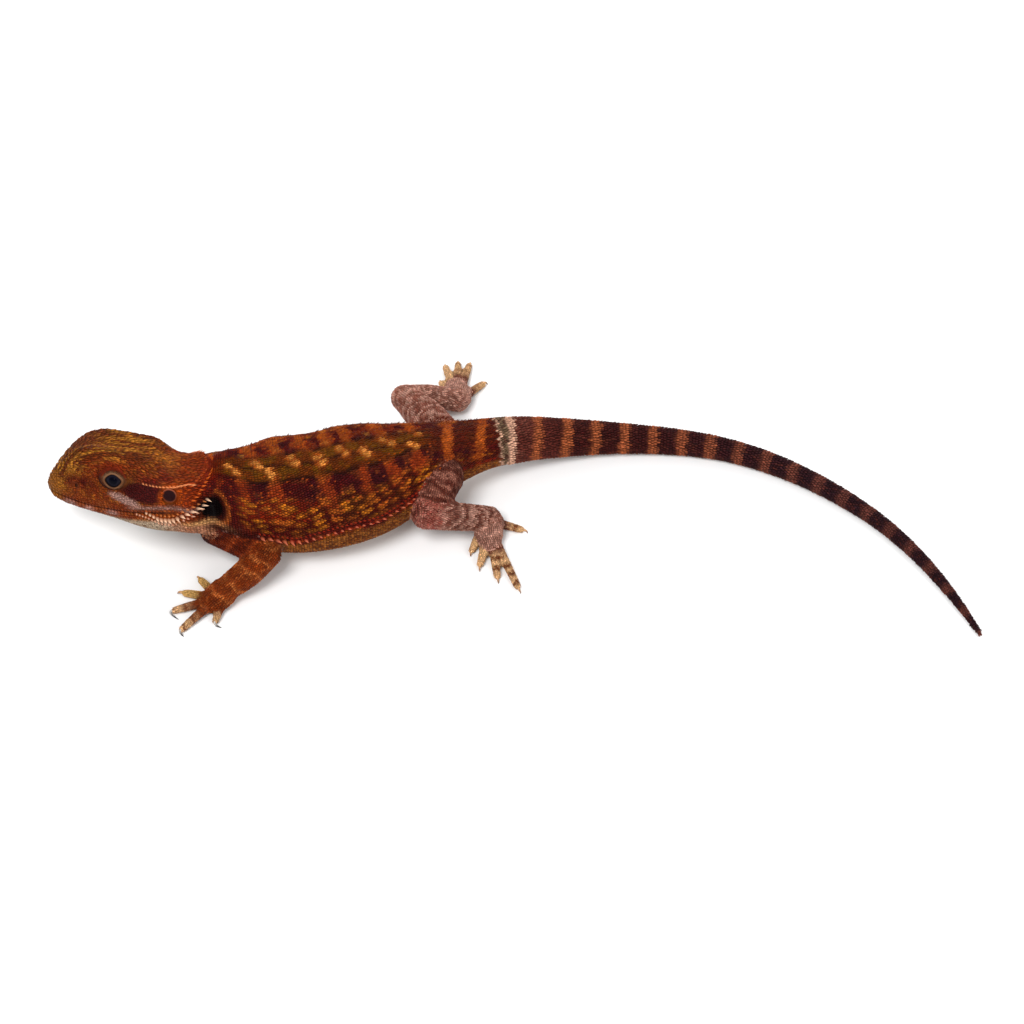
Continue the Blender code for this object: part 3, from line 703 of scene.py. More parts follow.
def limb_colour(name, at, length, degrees):
    """Broken cross bars of paler scales over brown on the arms and over mauve on the legs."""
    arm = "arm" in name or "hand" in name
    right = "right" in name
    seed = sum(map(ord, name)) % 17
    wave = at + 1.5 * (noise(at * 0.5, degrees / 30, seed) - 0.5) + 0.012 * np.abs(degrees)
    fine = noise(at * 2.2, degrees / 8, seed + 3)
    tone = 0.7 + 0.6 * noise(at * 0.8, degrees / 20, seed)
    if arm:
        base, pale = ARM_BROWN * (1 if "upper" in name else 1.2), ARM_PALE
        spacing, width = ARM_BARS
    else:
        base, pale = LEG_MAUVE, LEG_PINK
        spacing, width = LEG_BARS
        wave = wave + 2.2 * (noise(at * 0.8, degrees / 25, seed + 1) - 0.5)
        if right:
            base = base * 1.6 if "thigh" in name else over(base * 1.4, (LEG_PINK, 0.2))
    bar = hump((wave / spacing) % 1, 0.5, width)
    colour = over(
        base * tone[..., None],
        (pale, (1.0 if arm or right else 0.85) * bar * ease(fine, (0.1, 0.5))),
        (pale, 0.35 * ease(fine, (0.62, 0.85))),
    )
    if "foot" in name:
        colour = over(colour, (LEG_PINK, 0.38))
    if "upper_arm" in name:
        # painted shade: the upper arm turns dark maroon at its root against the body, and the whole arm is
        # then darkened by its shade factor
        colour = over(colour, (MAROON * 0.8, 0.9 * (1 - ease(at + 3 * (fine - 0.5), (0.5, 3.5)))))
        colour = colour * UPPER_ARM_SHADE
    if name == "thigh_left":
        # painted shade: the left thigh darkens at its root against the hip, and the whole thigh by its
        # shade factor
        root = 1 - ease(at + 2 * (fine - 0.5), (-3.0, -1.0))
        colour = over(colour, (LEG_MAUVE * 0.6, 0.7 * root)) * THIGH_SHADE
    if name == "shin_left":
        colour = over(colour, (KNEE_PINK, 0.55 * (1 - ease(at + 2 * fine, (1.5, 5.0)))))
    return over(colour, (pale, 0.55 * ease(np.abs(degrees), (110, 150))))


def digit_colour(name, at, length, degrees):
    """Tan toes. The inner two are plain, and the others are banded, with brown roots."""
    inner = int(name[-1]) < 3
    hand = "hand" in name
    seed = sum(map(ord, name)) % 13
    tan = TOE_TAN * (1.15 if hand else 1.3)
    colour = over(tan, (LEG_PINK, 0.25 * noise(at, degrees / 30, seed)))
    ragged = at + 1.0 * (noise(at * 2, degrees / 30, seed + 4) - 0.5)
    if hand and inner:
        colour = over(colour, (TOE_YELLOW, 0.65))
    if not inner:
        spacing, width = FINGER_BARS if hand else TOE_BARS
        band = hump((ragged / spacing) % 1, 0.5, width) * (length - ragged > 0.9)
        strength = 0.9 if hand else 0.6 if "right" in name else 1.0
        colour = over(colour, (TOE_BROWN, strength * band * (np.abs(degrees) < 130)))
    root = ARM_BROWN * 1.2 if hand else LEG_MAUVE * 1.2
    reach = length * (0.35 if inner else 0.62) if hand else 1.6 if inner else 3.0
    return over(colour, (root, 0.95 - 0.95 * ease(ragged, (0.3 * reach, 1.15 * reach))))


# ---- Relief of the skin ------------------------------------------------------------------------

BROW_ARC = ((8.5, 7.2), (12, 8.6), (15.5, 8.9), (19, 7.9), (22, 6.2))
BEARD_ROW = ((20.4, -0.3), (22.3, -0.5), (25.6, -1.2), (27.4, -0.8), (29.3, 0.7), (31.2, 2.0),
             (32.1, 2.9), (32.7, 4.4))
TEMPLE_ROW = ((19.7, 5.2), (21.9, 5.0), (24.6, 4.6), (27.4, 4.8), (29.8, 5.5))


def skin_relief(distance, turn):
    """How far the skin stands out or sinks in: brow, eye socket, nostril, mouth, ear and neck."""
    _, up = head_section(distance, turn)
    signed = np.degrees(turn)
    degrees = np.abs(signed)
    eye = off_middle(distance, up, EYE_MIDDLE, (3.3, 2.7))
    nose, ear = (off_middle(distance, up, middle) for middle in (NOSTRIL, EAR_MIDDLE))
    on_head = (
        0.35 * hump(up, smooth(distance, BROW_ARC), 0.6) * hump(distance, 15, 6.5)
        - 0.9 * ease(1.25 - eye, (0, 0.5))
        - 0.8 * hump(nose, 0, 0.42)
        + 0.18 * hump(nose, 0.75, 0.4)
        - 0.5 * hump(up, smooth(distance, MOUTH_LINE), 0.24) * (1 - ease(distance, (26.5, 28.5)))
        - 1.25 * ease(1.58 - ear, (0, 0.4))
        + 0.22 * hump(up, smooth(distance, TEMPLE_ROW), 0.5) * ease(distance, (19, 22))
    )
    beard = 0.5 * hump(distance, 29.3, 1.6) * hump(degrees, 72, 34)
    hollow = -2.8 * hump(distance, HOLLOW_PLACE[0], 1.8) * hump(degrees, HOLLOW_PLACE[1], 19)
    collar = -0.5 * hump(distance, 33.6, 1.0) * hump(degrees, 100, 30)
    shoulder = 0.6 * hump(distance, 45.5, 3.4) * hump(signed, -58, 24)
    dip = -0.35 * hump(distance, 55, 3.2) * hump(signed, -54, 22)
    furrow = -0.16 * (hump(degrees, 20, 3) + hump(degrees, 0, 2)) * ease(distance, (34, 38))
    furrow = furrow * (1 - ease(distance, (84, 92)))
    return (on_head * (degrees < 150) * (1 - ease(distance, (30, 32)))
            + beard + hollow + collar + furrow + shoulder + dip)


# ---- Meshes ------------------------------------------------------------------------------------

def grid_faces(rings, sides):
    """Quads of a grid of rings, each ring closed on itself."""
    corner = np.arange(rings * sides).reshape(rings, sides)
    beside = np.roll(corner, -1, axis=1)
    return np.stack([corner[:-1], corner[1:], beside[1:], beside[:-1]], -1).reshape(-1, 4)


def joined(meshes):
    """(points, faces, more...) of many meshes as one; each mesh is a grid of points, its faces,
    and a grid of values for each further array."""
    start, faces = 0, []
    for points, face, *_ in meshes:
        faces.append(face.reshape(-1, face.shape[-1]) + start)
        start += points.size // 3
    points, _, *more = ([grid.reshape(-1, grid.shape[-1]) for grid in grids] for grids in zip(*meshes))
    return [np.concatenate(arrays) for arrays in (points, faces, *more)]


def make_mesh(name, points, faces, material, colours=None, bake_map=None, values=None):
    """A mesh piece at the origin, from points in mm, faces that all have as many corners, and
    a colour, a bake-map place and named values for each point."""
    mesh = bpy.data.meshes.new(name)
    mesh.vertices.add(len(points))
    mesh.vertices.foreach_set("co", (points * MM).astype(np.float32).ravel())
    corners = faces.shape[1]
    mesh.loops.add(faces.size)
    mesh.loops.foreach_set("vertex_index", faces.astype(np.int32).ravel())
    mesh.polygons.add(len(faces))
    mesh.polygons.foreach_set("loop_start", np.arange(0, faces.size, corners, dtype=np.int32))
    mesh.polygons.foreach_set("use_smooth", np.ones(len(faces), bool))
    if bake_map is not None:
        layer = mesh.uv_layers.new(name="OFBake")
        layer.data.foreach_set("uv", bake_map[faces.ravel()].astype(np.float32).ravel())
    mesh.update(calc_edges=True)
    mesh.validate()
    if colours is not None:
        layer = mesh.color_attributes.new("markings", "FLOAT_COLOR", "POINT")
        rgba = np.concatenate([colours, np.ones((len(colours), 1))], 1)
        layer.data.foreach_set("color", rgba.astype(np.float32).ravel())
    for key, value in (values or {}).items():
        layer = mesh.attributes.new(key, "FLOAT", "POINT")
        layer.data.foreach_set("value", value.astype(np.float32).ravel())
    mesh.materials.append(material)
    piece = bpy.data.objects.new(name, mesh)
    bpy.context.scene.collection.objects.link(piece)
    return piece


def fit(piece, slot, *nodes):
    """The piece rides on the model's one body and may stand for nodes of the solids.
    The slot is not used."""
    if nodes:
        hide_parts(*nodes)
    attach(piece, "root")


def outward_faces(points, faces):
    """Faces of a closed mesh, turned over if its volume comes out negative."""
    points = points.reshape(-1, 3)
    a, b, c = (points[faces[:, k]] for k in range(3))
    centre = points.mean(0)
    volume = ((a - centre) * np.cross(b - centre, c - centre)).sum()
    return faces if volume > 0 else faces[:, ::-1]


def closed_loft(points):
    """Rings of points with a pole added at both ends."""
    first = np.broadcast_to(points[0].mean(0), points[0].shape)
    last = np.broadcast_to(points[-1].mean(0), points[-1].shape)
    return np.concatenate([first[None], points, last[None]])


def read_mesh(piece):
    """(points in mm, faces of four corners) of a piece with its modifiers applied."""
    made = piece.evaluated_get(bpy.context.evaluated_depsgraph_get()).to_mesh()
    points = np.empty(len(made.vertices) * 3)
    made.vertices.foreach_get("co", points)
    corners = np.empty(len(made.loops), int)
    made.loops.foreach_get("vertex_index", corners)
    return points.reshape(-1, 3) / MM, corners.reshape(-1, 4)


def sums(places, vectors, count):
    """The vectors that share a place added up, for each of count places."""
    return np.stack([np.bincount(places, vector, count) for vector in vectors.T], 1)


def relax(points, faces, rounds, weight):
    """Each round moves every point towards the mean of its neighbours, by the weight."""
    ends = np.stack([faces, np.roll(faces, -1, 1)], -1).reshape(-1, 2)
    ends = np.concatenate([ends, ends[:, ::-1]])
    degree = np.bincount(ends[:, 0], minlength=len(points))[:, None]
    for _ in range(rounds):
        total = sums(ends[:, 0], points[ends[:, 1]], len(points))
        points = points + weight * (total / degree - points)
    return points


def point_normals(points, faces):
    """The mean direction of the faces round each point."""
    a, b, c, d = (points[faces[:, k]] for k in range(4))
    return unit(sums(faces.ravel(), np.repeat(np.cross(c - a, d - b), 4, axis=0), len(points)))


def nearest(tree, points):
    """(nearest points, faces they lie in, distances) on a tree of faces."""
    found = [tree.find_nearest(Vector(point)) for point in points]
    return tuple(np.array([hit[k] for hit in found]) for k in (0, 2, 3))


# ---- Finishes ----------------------------------------------------------------------------------

def new_finish(name):
    """(material, its shader) of a new finish."""
    material = bpy.data.materials.new(name)
    material.use_nodes = True
    return material, material.node_tree.nodes["Principled BSDF"]


def set_inputs(node, inputs):
    """Each input set to its number, or linked from another node's output."""
    for key, value in inputs.items():
        if isinstance(value, bpy.types.NodeSocket):
            node.id_data.links.new(value, node.inputs[key])
        else:
            node.inputs[key].default_value = value


def add_node(material, kind, inputs, **settings):
    """A shader node of that kind, with its settings and inputs."""
    node = material.node_tree.nodes.new("ShaderNode" + kind)
    for key, value in settings.items():
        setattr(node, key, value)
    set_inputs(node, inputs)
    return node


# Finishes: name, roughness, scale of the grain, strength of its relief, clear coat
FINISHES = (
    ("skin", 0.6, 9000.0, 0.3, 0.0),
    ("keeled_scales", 0.44, 5200.0, 0.35, 0.0),
    ("tail_scales", 0.46, 4600.0, 0.35, 0.0),
    ("leg_scales", 0.48, 5200.0, 0.35, 0.0),
    ("lip_plates", 0.4, 4200.0, 0.2, 0.0),
    ("claw_horn", 0.25, 2600.0, 0.15, 0.4),
    ("ear_membrane", 0.4, 3000.0, 0.3, 0.0),
)


def marked_finish(name, roughness, grain, bump, coat):
    """The markings' colour with a fine grain in it, and a slightly uneven gloss."""
    material, shader = new_finish(name)
    markings = add_node(material, "Attribute", {}, attribute_name="markings")
    place = add_node(material, "TexCoord", {})
    speckle = add_node(material, "TexNoise", {
        "Vector": place.outputs["Object"], "Scale": grain, "Detail": 4.0}).outputs["Fac"]
    tone = add_node(material, "MapRange", {"Value": speckle, "To Min": 0.72, "To Max": 1.28})
    tinted = add_node(material, "Mix", {}, data_type="RGBA", blend_type="MULTIPLY")
    set_inputs(tinted, {"Factor": 1.0, "A": markings.outputs["Color"], "B": tone.outputs["Result"]})
    gloss = add_node(material, "MapRange", {
        "Value": speckle, "To Min": roughness - 0.1, "To Max": roughness + 0.12})
    relief = add_node(material, "Bump", {"Height": speckle, "Strength": bump, "Distance": 0.00003})
    set_inputs(shader, {
        "Base Color": tinted.outputs["Result"],
        "Roughness": gloss.outputs["Result"],
        "Normal": relief.outputs["Normal"],
        "Specular IOR Level": 0.08,
        "Coat Weight": coat,
        "Coat Roughness": 0.35,
    })
    return material


# The eye's colours from the pupil outwards, at parts of 60 degrees of gaze
EYE_STOPS = ((0.0, (0.001, 0.001, 0.003)), (0.27, (0.001, 0.001, 0.004)), (0.33, (0.006, 0.005, 0.010)),
             (0.50, (0.010, 0.008, 0.012)), (0.60, (0.004, 0.003, 0.006)), (1.0, (0.01, 0.008, 0.008)))


def eye_finish():
    """A black pupil in a dark iris with fine rays, under a clear glossy cornea."""
    material, shader = new_finish("glossy_eye")
    gaze = add_node(material, "Attribute", {}, attribute_name="gaze")
    around = add_node(material, "Attribute", {}, attribute_name="around")
    rays = add_node(material, "TexNoise", {}, noise_dimensions="1D")
    set_inputs(rays, {"W": around.outputs["Fac"], "Scale": 3.0})
    spread = add_node(material, "Math", {0: rays.outputs["Fac"], 1: 5.0, 2: gaze.outputs["Fac"]},
                      operation="MULTIPLY_ADD")
    scaled = add_node(material, "Math", {0: spread.outputs["Value"], 1: 60.0}, operation="DIVIDE")
    ramp = add_node(material, "ValToRGB", {"Fac": scaled.outputs["Value"]})
    stops = ramp.color_ramp.elements
    stops.remove(stops[1])
    for index, (where, colour) in enumerate(EYE_STOPS):
        stop = stops.new(where) if index else stops[0]
        stop.position = where
        stop.color = (*colour, 1.0)
    set_inputs(shader, {"Base Color": ramp.outputs["Color"], "Roughness": 0.07,
                        "Specular IOR Level": 0.04})
    return material


# ---- The skin ----------------------------------------------------------------------------------

def body_skin(distance, turn):
    """The body under its coat, with the skin's relief."""
    return body_points(distance, turn, -BODY_COAT, skin_relief)


def all_feet():
    """The three modelled feet by name, and the hidden hand as a mirrored one."""
    return dict(FEET, hand_right=mirrored_hand())


def limb_tubes():
    """Every length of the limbs as (name, tube, colour function)."""
    tubes = [(name, Tube(chain, radii), limb_colour) for name, (chain, radii) in LIMBS.items()]
    for name, ((chain, radii), digits) in all_feet().items():
        tubes.append((name, Tube(chain, radii, PALM_SPREAD, LIMB_COAT * 0.8), limb_colour))
        for number, (root, tip, _) in enumerate(digits, 1):
            middle = tuple((a + b) / 2 for a, b in zip(root, tip))
            path = [(*where, height) for where, height in zip((root, middle, tip), DIGIT_HEIGHTS)]
            tube = Tube(path, DIGIT_RADII, 1.0, DIGIT_COAT)
            tubes.append((f"{name}_digit_{number}", tube, digit_colour))
    return tubes


def make_skin(tubes, material):
    """One closed skin: fine lofts joined by a voxel remesh, with their creases filled in.

    Each point takes the colour of the nearest place on the lofts. A place's rank is its distance
    along the body, or LIMB_RANK on a limb. Only creases past HEAD_RANK are filled in, so that
    the head keeps its own.
    """
    head_rings, body_rings = np.arange(0.02, 36, 0.2), np.arange(36, BODY_LENGTH, 0.35)
    distance = np.concatenate([head_rings, body_rings])[:, None]
    turn = ring_turns(BODY_SIDES)[None]
    lofts = [(body_skin(distance, turn), body_colour(distance, turn),
              np.broadcast_to(distance, (distance.size, turn.size)))]
    for name, tube, colour in tubes:
        count = int((tube.last - tube.first) / 0.25) + 6
        along = tube.first + (tube.last - tube.first) * (1 - np.cos(np.linspace(0, np.pi, count))) / 2
        along, turn = np.broadcast_arrays(along[:, None], ring_turns(LIMB_SIDES)[None])
        lofts.append((tube(along, turn), colour(name, along, tube.last, np.degrees(turn)),
                      np.full(along.shape, LIMB_RANK)))
    meshes = []
    for place, colour, rank in lofts:
        place = closed_loft(place)
        meshes.append((place, grid_faces(*place.shape[:2]), closed_loft(colour),
                       closed_loft(rank[..., None])))
    points, faces, colours, rank = joined(meshes)
    source = make_mesh("skin_source", points, faces, material)
    remesh = source.modifiers.new("join", "REMESH")
    remesh.mode = "VOXEL"
    remesh.voxel_size = SKIN_VOXEL * MM
    skin_points, skin_faces = read_mesh(source)
    bpy.data.objects.remove(source)
    _, face, _ = nearest(BVHTree.FromPolygons(points.tolist(), faces.tolist()), skin_points)
    corner = faces[face, 0]
    filled = rank[corner] > HEAD_RANK
    skin_points = relax(skin_points, skin_faces, 3, 0.5)
    for _ in range(CREASE_ROUNDS):
        normals = point_normals(skin_points, skin_faces)
        moved = relax(skin_points, skin_faces, 2, 0.6)
        hollow = ((moved - skin_points) * normals).sum(1, keepdims=True) > 0
        skin_points = np.where(hollow & filled, moved, skin_points)
    skin_points[:, 2] = np.maximum(skin_points[:, 2], DIGIT_COAT)
    return skin_points, skin_faces, colours[corner]


# ---- Scales ------------------------------------------------------------------------------------

# A scale's outline: (along, across, height) of root, two rings of left, keel, right and underside,
# and tip. It is stretched to each scale's own length, width and height.
SCALE = np.array((
    (0.00, 0.00, -0.40),
    (0.30, -0.47, -0.05), (0.32, 0.00, 0.62), (0.30, 0.47, -0.05), (0.30, 0.00, -0.45),
    (0.72, -0.40, 0.35), (0.74, 0.00, 0.98), (0.72, 0.40, 0.35), (0.72, 0.00, 0.10),
    (1.06, 0.00, 0.82),
))
SCALE_FACES = np.array((
    (0, 2, 1), (0, 3, 2), (0, 4, 3), (0, 1, 4),
    (1, 2, 6), (1, 6, 5), (2, 3, 7), (2, 7, 6), (3, 4, 8), (3, 8, 7), (4, 1, 5), (4, 5, 8),
    (5, 6, 9), (6, 7, 9), (7, 8, 9), (8, 5, 9),
))
# Brightness of each outline point: darker at the root and underside as painted shade, lighter along the
# keel and at the tip as painted highlight.
SCALE_SHADE_AND_HIGHLIGHT = np.array((0.40, 0.52, 1.10, 0.52, 0.40, 0.80, 1.70, 0.80, 0.45, 1.35))
FLAT = np.array((1.0, 1.0, 0.55, 1.0, 1.0, 1.3, 0.62, 1.3, 1.0, 0.75))
SCALE_PATCH = SCALE[:, :2] + (0.0, 0.5)


class Skin:
    """A finished skin, which scales and spines are set on."""

    def __init__(self, points, faces):
        self.points, self.faces = points, faces
        self.normals = point_normals(points, faces)
        self.tree = BVHTree.FromPolygons(points.tolist(), faces.tolist())

    def settle(self, surface, along, turn):
        """(places, normals, directions along, directions across, distances) on the skin, nearest
        to places of a surface. The directions lie in the skin, along the surface's own."""
        place, face, distance = nearest(self.tree, surface(along, turn))
        normal = unit(self.normals[self.faces[face]].mean(1))
        forward = surface(along + 0.05, turn) - surface(along - 0.05, turn)
        forward = unit(forward - normal * (forward * normal).sum(1, keepdims=True))
        return place, normal, forward, np.cross(normal, forward), distance


def lay_rows(surface, first, last, pitch, width, arc=(-180, 180), seed=0, stray=0.3):
    """Staggered rows across a surface, evenly spaced along each row: (along, turn, long, wide).

    The rows' places come from integrating 1 over the pitch, and each row's turns from its own
    length, so that scales are as wide on a narrow row as on a broad one. Each scale strays from
    its place by a part of its own size.
    """
    fine = np.linspace(first, last, 800)
    step, wide = (np.interp(fine, *np.transpose(size)) if np.ndim(size) else np.full(800, size)
                  for size in (pitch, width))
    passed = np.concatenate([[0], np.cumsum(np.diff(fine) / step[1:])])
    rows = np.interp(np.arange(0.5, passed[-1]), passed, fine)
    row_step, row_width = (np.interp(rows, fine, size) for size in (step, wide))
    turn = np.radians(np.linspace(*arc, 91))
    ring = surface(rows[:, None], turn[None])
    length = np.cumsum(np.linalg.norm(np.diff(ring, axis=1), axis=2), axis=1)
    length = np.concatenate([np.zeros((len(rows), 1)), length], 1)
    count = np.maximum(3, np.rint(length[:, -1] / row_width)).astype(int)
    row = np.repeat(np.arange(len(rows)), count)
    number = np.arange(count.sum()) - np.repeat(np.cumsum(count) - count, count)
    strayed = stray * (scatter(row, number * 31, seed + 1) - 0.5)
    place = (number + 0.25 + 0.5 * (row % 2) + strayed) / count[row]
    turns = np.concatenate([np.interp(place[row == k] * length[k, -1], length[k], turn)
                            for k in range(len(rows))])
    along = rows[row] + row_step[row] * stray * (scatter(row, place * 97, seed) - 0.5)
    return along, turns, row_step[row], (length[:, -1] / count)[row]


def set_scales(skin, surface, colour, laid, high, keel=1.0, bare=None, overlap=1.4, reach=0.5, seed=0):
    """Scales on the skin at laid places of a surface: (points, faces, colours, roots).

    Each scale is the outline stretched along the surface's own direction, across it and out
    from the skin. Scales that fall on bare places or inside another part are left out.
    """
    along, turn, long, wide = laid
    *frames, distance = skin.settle(surface, along, turn)
    keep = distance < reach
    if bare is not None:
        keep &= ~bare(along, turn)
    along, turn, place, normal, forward, across = (v[keep] for v in (along, turn, *frames))
    long, wide = (np.broadcast_to(v, keep.shape)[keep] for v in (long, wide))
    chance, other = (scatter(np.arange(len(along)), draw, seed) for draw in (0, 1))
    form = SCALE.copy()
    form[:, 2] *= keel + (1 - keel) * FLAT
    stretch = np.stack([long * overlap * (0.9 + 0.2 * chance), wide * 1.08 * (0.92 + 0.16 * other),
                        high * (0.75 + 0.5 * chance)], 1)
    local = form[None] * stretch[:, None]
    points = (place[:, None] + local[..., :1] * forward[:, None] + local[..., 1:2] * across[:, None]
              + local[..., 2:] * normal[:, None])
    points[..., 2] = np.maximum(points[..., 2], FLOOR_GAP)
    # painted shade at each scale's root and painted highlight on its keel and tip, weaker on flatter
    # scales; then a random brightness for each scale
    tone = 1 + (SCALE_SHADE_AND_HIGHLIGHT - 1) * (0.35 + 0.65 * keel)
    tone = tone * (0.52 + 0.36 * other + 0.25 * (chance > 0.9))[:, None]
    colours = colour(along, turn)[:, None] * tone[..., None]
    faces = SCALE_FACES[None] + (np.arange(len(along)) * len(SCALE))[:, None, None]
    return points, faces, colours, np.stack([along, turn], 1)


def coat_piece(name, layers, material, slot="body_skin", form=SCALE_PATCH, margin=0.02):
    """One mesh of many scales or spines. Each layer has its own island on the bake map, where
    each one's patch lies at its root's place along and round the surface."""
    columns = int(np.ceil(np.sqrt(len(layers))))
    meshes = []
    for index, (place, face, colour, roots) in enumerate(layers):
        if not len(roots):
            continue
        low, high = roots.min(0), roots.max(0)
        inside = (roots - low) / np.maximum(high - low, THIN)
        corner = np.array((index % columns, index // columns))
        centre = (corner + margin + inside * (0.98 - 2 * margin)) / columns
        meshes.append((place, face, colour, centre[:, None] + form * PATCH))
    points, faces, colours, bake_map = joined(meshes)
    fit(make_mesh(name, points, faces, material, colours, np.clip(bake_map, 0, 1)), slot)


def bare_places(along, turn):
    """True where the head has no scales: the eyes, nostrils, ears and the mouth's line."""
    _, up = head_section(along, turn)
    eye = off_middle(along, up, EYE_MIDDLE, (2.9, 2.25)) < 1
    nostril = off_middle(along, up, NOSTRIL) < 0.52
    ear = off_middle(along, up, EAR_MIDDLE) < 1.4
    mouth = (np.abs(up - smooth(along, MOUTH_LINE)) < 0.62) & (along < 27.5)
    return (np.abs(turn) < np.radians(150)) & (eye | nostril | ear | mouth) & (along < 31)


def turn_at(distance, height, side):
    """The turn at which the head's side has that height, found on a fan of turns."""
    fan = np.radians(np.linspace(20, 140, 200))
    ups = [head_section(np.full(200, d), fan)[1] for d in distance]
    return side * np.array([np.interp(-h, -u, fan) for h, u in zip(height, ups)])


CROWN_PITCH = ((0, 0.4), (4, 0.6), (8, 0.74), (32, 0.74))
TAIL_PITCH = ((92, 0.62), (140, 0.66), (207, 0.5))
TAIL_WIDTH = ((92, 0.54), (140, 0.52), (207, 0.34))
# Layers of each piece of the body's coat: first and last distance, pitch and width of the rows,
# arc in degrees, height, keel from 0 flat to 1 sharp, seed, overlap, bare places, stray
BODY_COATS = {
    "head_scales": (
        (0.25, 31.8, CROWN_PITCH, 0.40, (-54, 54), 0.19, 0.9, 1, 1.5, bare_places, 0.8),
        (0.1, 31.9, 0.42, 0.40, (54, 124), 0.13, 0.5, 2, 1.4, bare_places, 0.7),
        (0.1, 31.9, 0.42, 0.40, (-124, -54), 0.13, 0.5, 3, 1.4, bare_places, 0.7),
        (0.1, 31.9, 0.46, 0.44, (124, 236), 0.12, 0.3, 4, 1.4, None, 0.6),
    ),
    "neck_scales": ((31.2, 41, 0.46, 0.46, (-180, 180), 0.19, 1.0, 5, 1.4, None, 0.3),),
    "back_scales": ((41, 92, 0.50, 0.50, (-62, 62), 0.21, 1.0, 6, 1.4, None, 0.3),),
    "flank_scales": (
        (41, 92, 0.48, 0.48, (62, 112), 0.19, 1.0, 7, 1.4, None, 0.3),
        (41, 92, 0.48, 0.48, (-112, -62), 0.19, 1.0, 8, 1.4, None, 0.3),
    ),
    "belly_scales": ((41, 92, 0.56, 0.56, (112, 248), 0.14, 0.3, 9, 1.4, None, 0.3),),
    "tail_coat": ((92, 206.6, TAIL_PITCH, TAIL_WIDTH, (-180, 180), 0.28, 1.0, 10, 1.4, None, 0.3),),
}
# The limbs' scales, and the finer ones of their digits: side, height, reach from the skin
LIMB_SCALE = (0.44, 0.17, 0.5)
DIGIT_SCALE = (0.34, 0.09, 0.3)


def body_coat(skin, name, material, slot="body_skin"):
    """One piece of the body's coat, of the layers that the table gives it."""
    layers = []
    for first, last, pitch, width, arc, high, keel, seed, overlap, bare, stray in BODY_COATS[name]:
        laid = lay_rows(body_skin, first, last, pitch, width, arc, seed, stray)
        layers.append(set_scales(skin, body_skin, body_colour, laid, high, keel, bare, overlap,
                                 seed=seed))
    coat_piece(name, layers, material, slot)


def limb_coat(skin, tubes, name, words, material, slot="body_skin"):
    """One limb's coat: scales round each tube whose name holds one of the words."""
    layers = []
    for index, (part, tube, colour) in enumerate(tubes):
        if not any(word in part for word in words):
            continue
        size, high, reach = DIGIT_SCALE if "digit" in part else LIMB_SCALE
        laid = lay_rows(tube, tube.first + 0.1, tube.last - 0.05, size, size, seed=20 + index)

        def tint(at, around, part=part, tube=tube, colour=colour):
            return colour(part, at, tube.last, np.degrees(around))

        layers.append(set_scales(skin, tube, tint, laid, high, 0.8, reach=reach, seed=index))
    coat_piece(name, layers, material, slot)


def lip_plates(skin, side):
    """Two rows of broad plates, over and under the mouth's line."""
    rows = []
    for lift, tone, seed in ((0.34, 1.05, 1), (-0.36, 1.1, 2)):
        along = np.arange(1.0, 27.4, 0.72)
        turn = turn_at(along, smooth(along, MOUTH_LINE) + lift, side)

        def tint(at, around, tone=tone):
            return body_colour(at, around) * tone

        rows.append(set_scales(skin, body_skin, tint, (along, turn, 0.72, 0.52), 0.2, 0.25, None, 1.15,
                               0.8, seed))
    return rows


# ---- Spines ------------------------------------------------------------------------------------

SPINE_SIDES = 6
# Rings of a spine: the part of its height, of its base's radius, and of its tip's colour
SPINE_RINGS = ((-0.15, 1.05, 0.0), (0.08, 0.85, 0.1), (0.4, 0.5, 0.55), (0.75, 0.2, 0.9))
SPINE_PATCH = circle(np.arange(len(SPINE_RINGS) * SPINE_SIDES + 2), np.array((0.5, 0)), np.array((0, 0.5)))


def spine_faces():
    """Triangles of one spine: strips between its rings, then fans at its tip and its foot."""
    here = np.arange(SPINE_SIDES)
    beside = (here + 1) % SPINE_SIDES
    tip = np.full(SPINE_SIDES, len(SPINE_RINGS) * SPINE_SIDES)
    faces = []
    for low in range(0, (len(SPINE_RINGS) - 1) * SPINE_SIDES, SPINE_SIDES):
        high = low + SPINE_SIDES
        faces += [(low + here, low + beside, high + beside), (low + here, high + beside, high + here)]
    faces += [(high + here, high + beside, tip), (beside, here, tip + 1)]
    return np.concatenate([np.stack(corners, 1) for corners in faces])


def set_spines(skin, along, turn, base, tall, lean, colour, tip_colour, seed):
    """Curved cones: rings of a circle that shrink towards a tip, which leans along the body.

    The axis leaves the skin along its normal and bends towards the lie of the coat.
    """
    place, normal, forward, across, _ = skin.settle(body_skin, along, turn)
    base, tall, lean = (np.broadcast_to(v, along.shape)[:, None] for v in (base, tall, lean))
    chance = 0.8 + 0.4 * scatter(np.arange(len(along)), 0, seed)[:, None]
    angle = np.arange(SPINE_SIDES) * 2 * np.pi / SPINE_SIDES
    around = circle(angle, forward[:, None] * 1.2, across[:, None])
    rings = []
    for t, size, _ in SPINE_RINGS:
        axis = (normal * (t * np.cos(lean * 0.9)) + forward * (t * t * np.sin(lean) + t * 0.3)) * tall
        rings.append((place + axis * chance)[:, None] + around * (base * size)[:, None])
    tip = place + (normal * np.cos(lean * 0.9) + forward * (np.sin(lean) + 0.3)) * tall * chance
    foot = place - normal * tall * 0.15
    points = np.concatenate(rings + [tip[:, None], foot[:, None]], 1)
    points[..., 2] = np.maximum(points[..., 2], FLOOR_GAP)
    faces = spine_faces()[None] + (np.arange(len(along)) * points.shape[1])[:, None, None]
    fade = [fade for _, _, fade in SPINE_RINGS]
    fade = np.concatenate([np.repeat(fade, SPINE_SIDES), (1.0, 0.0)])[:, None]
    colours = colour[:, None] * (1 - fade) + tip_colour * fade
    return points, faces, colours, np.stack([along, turn], 1)


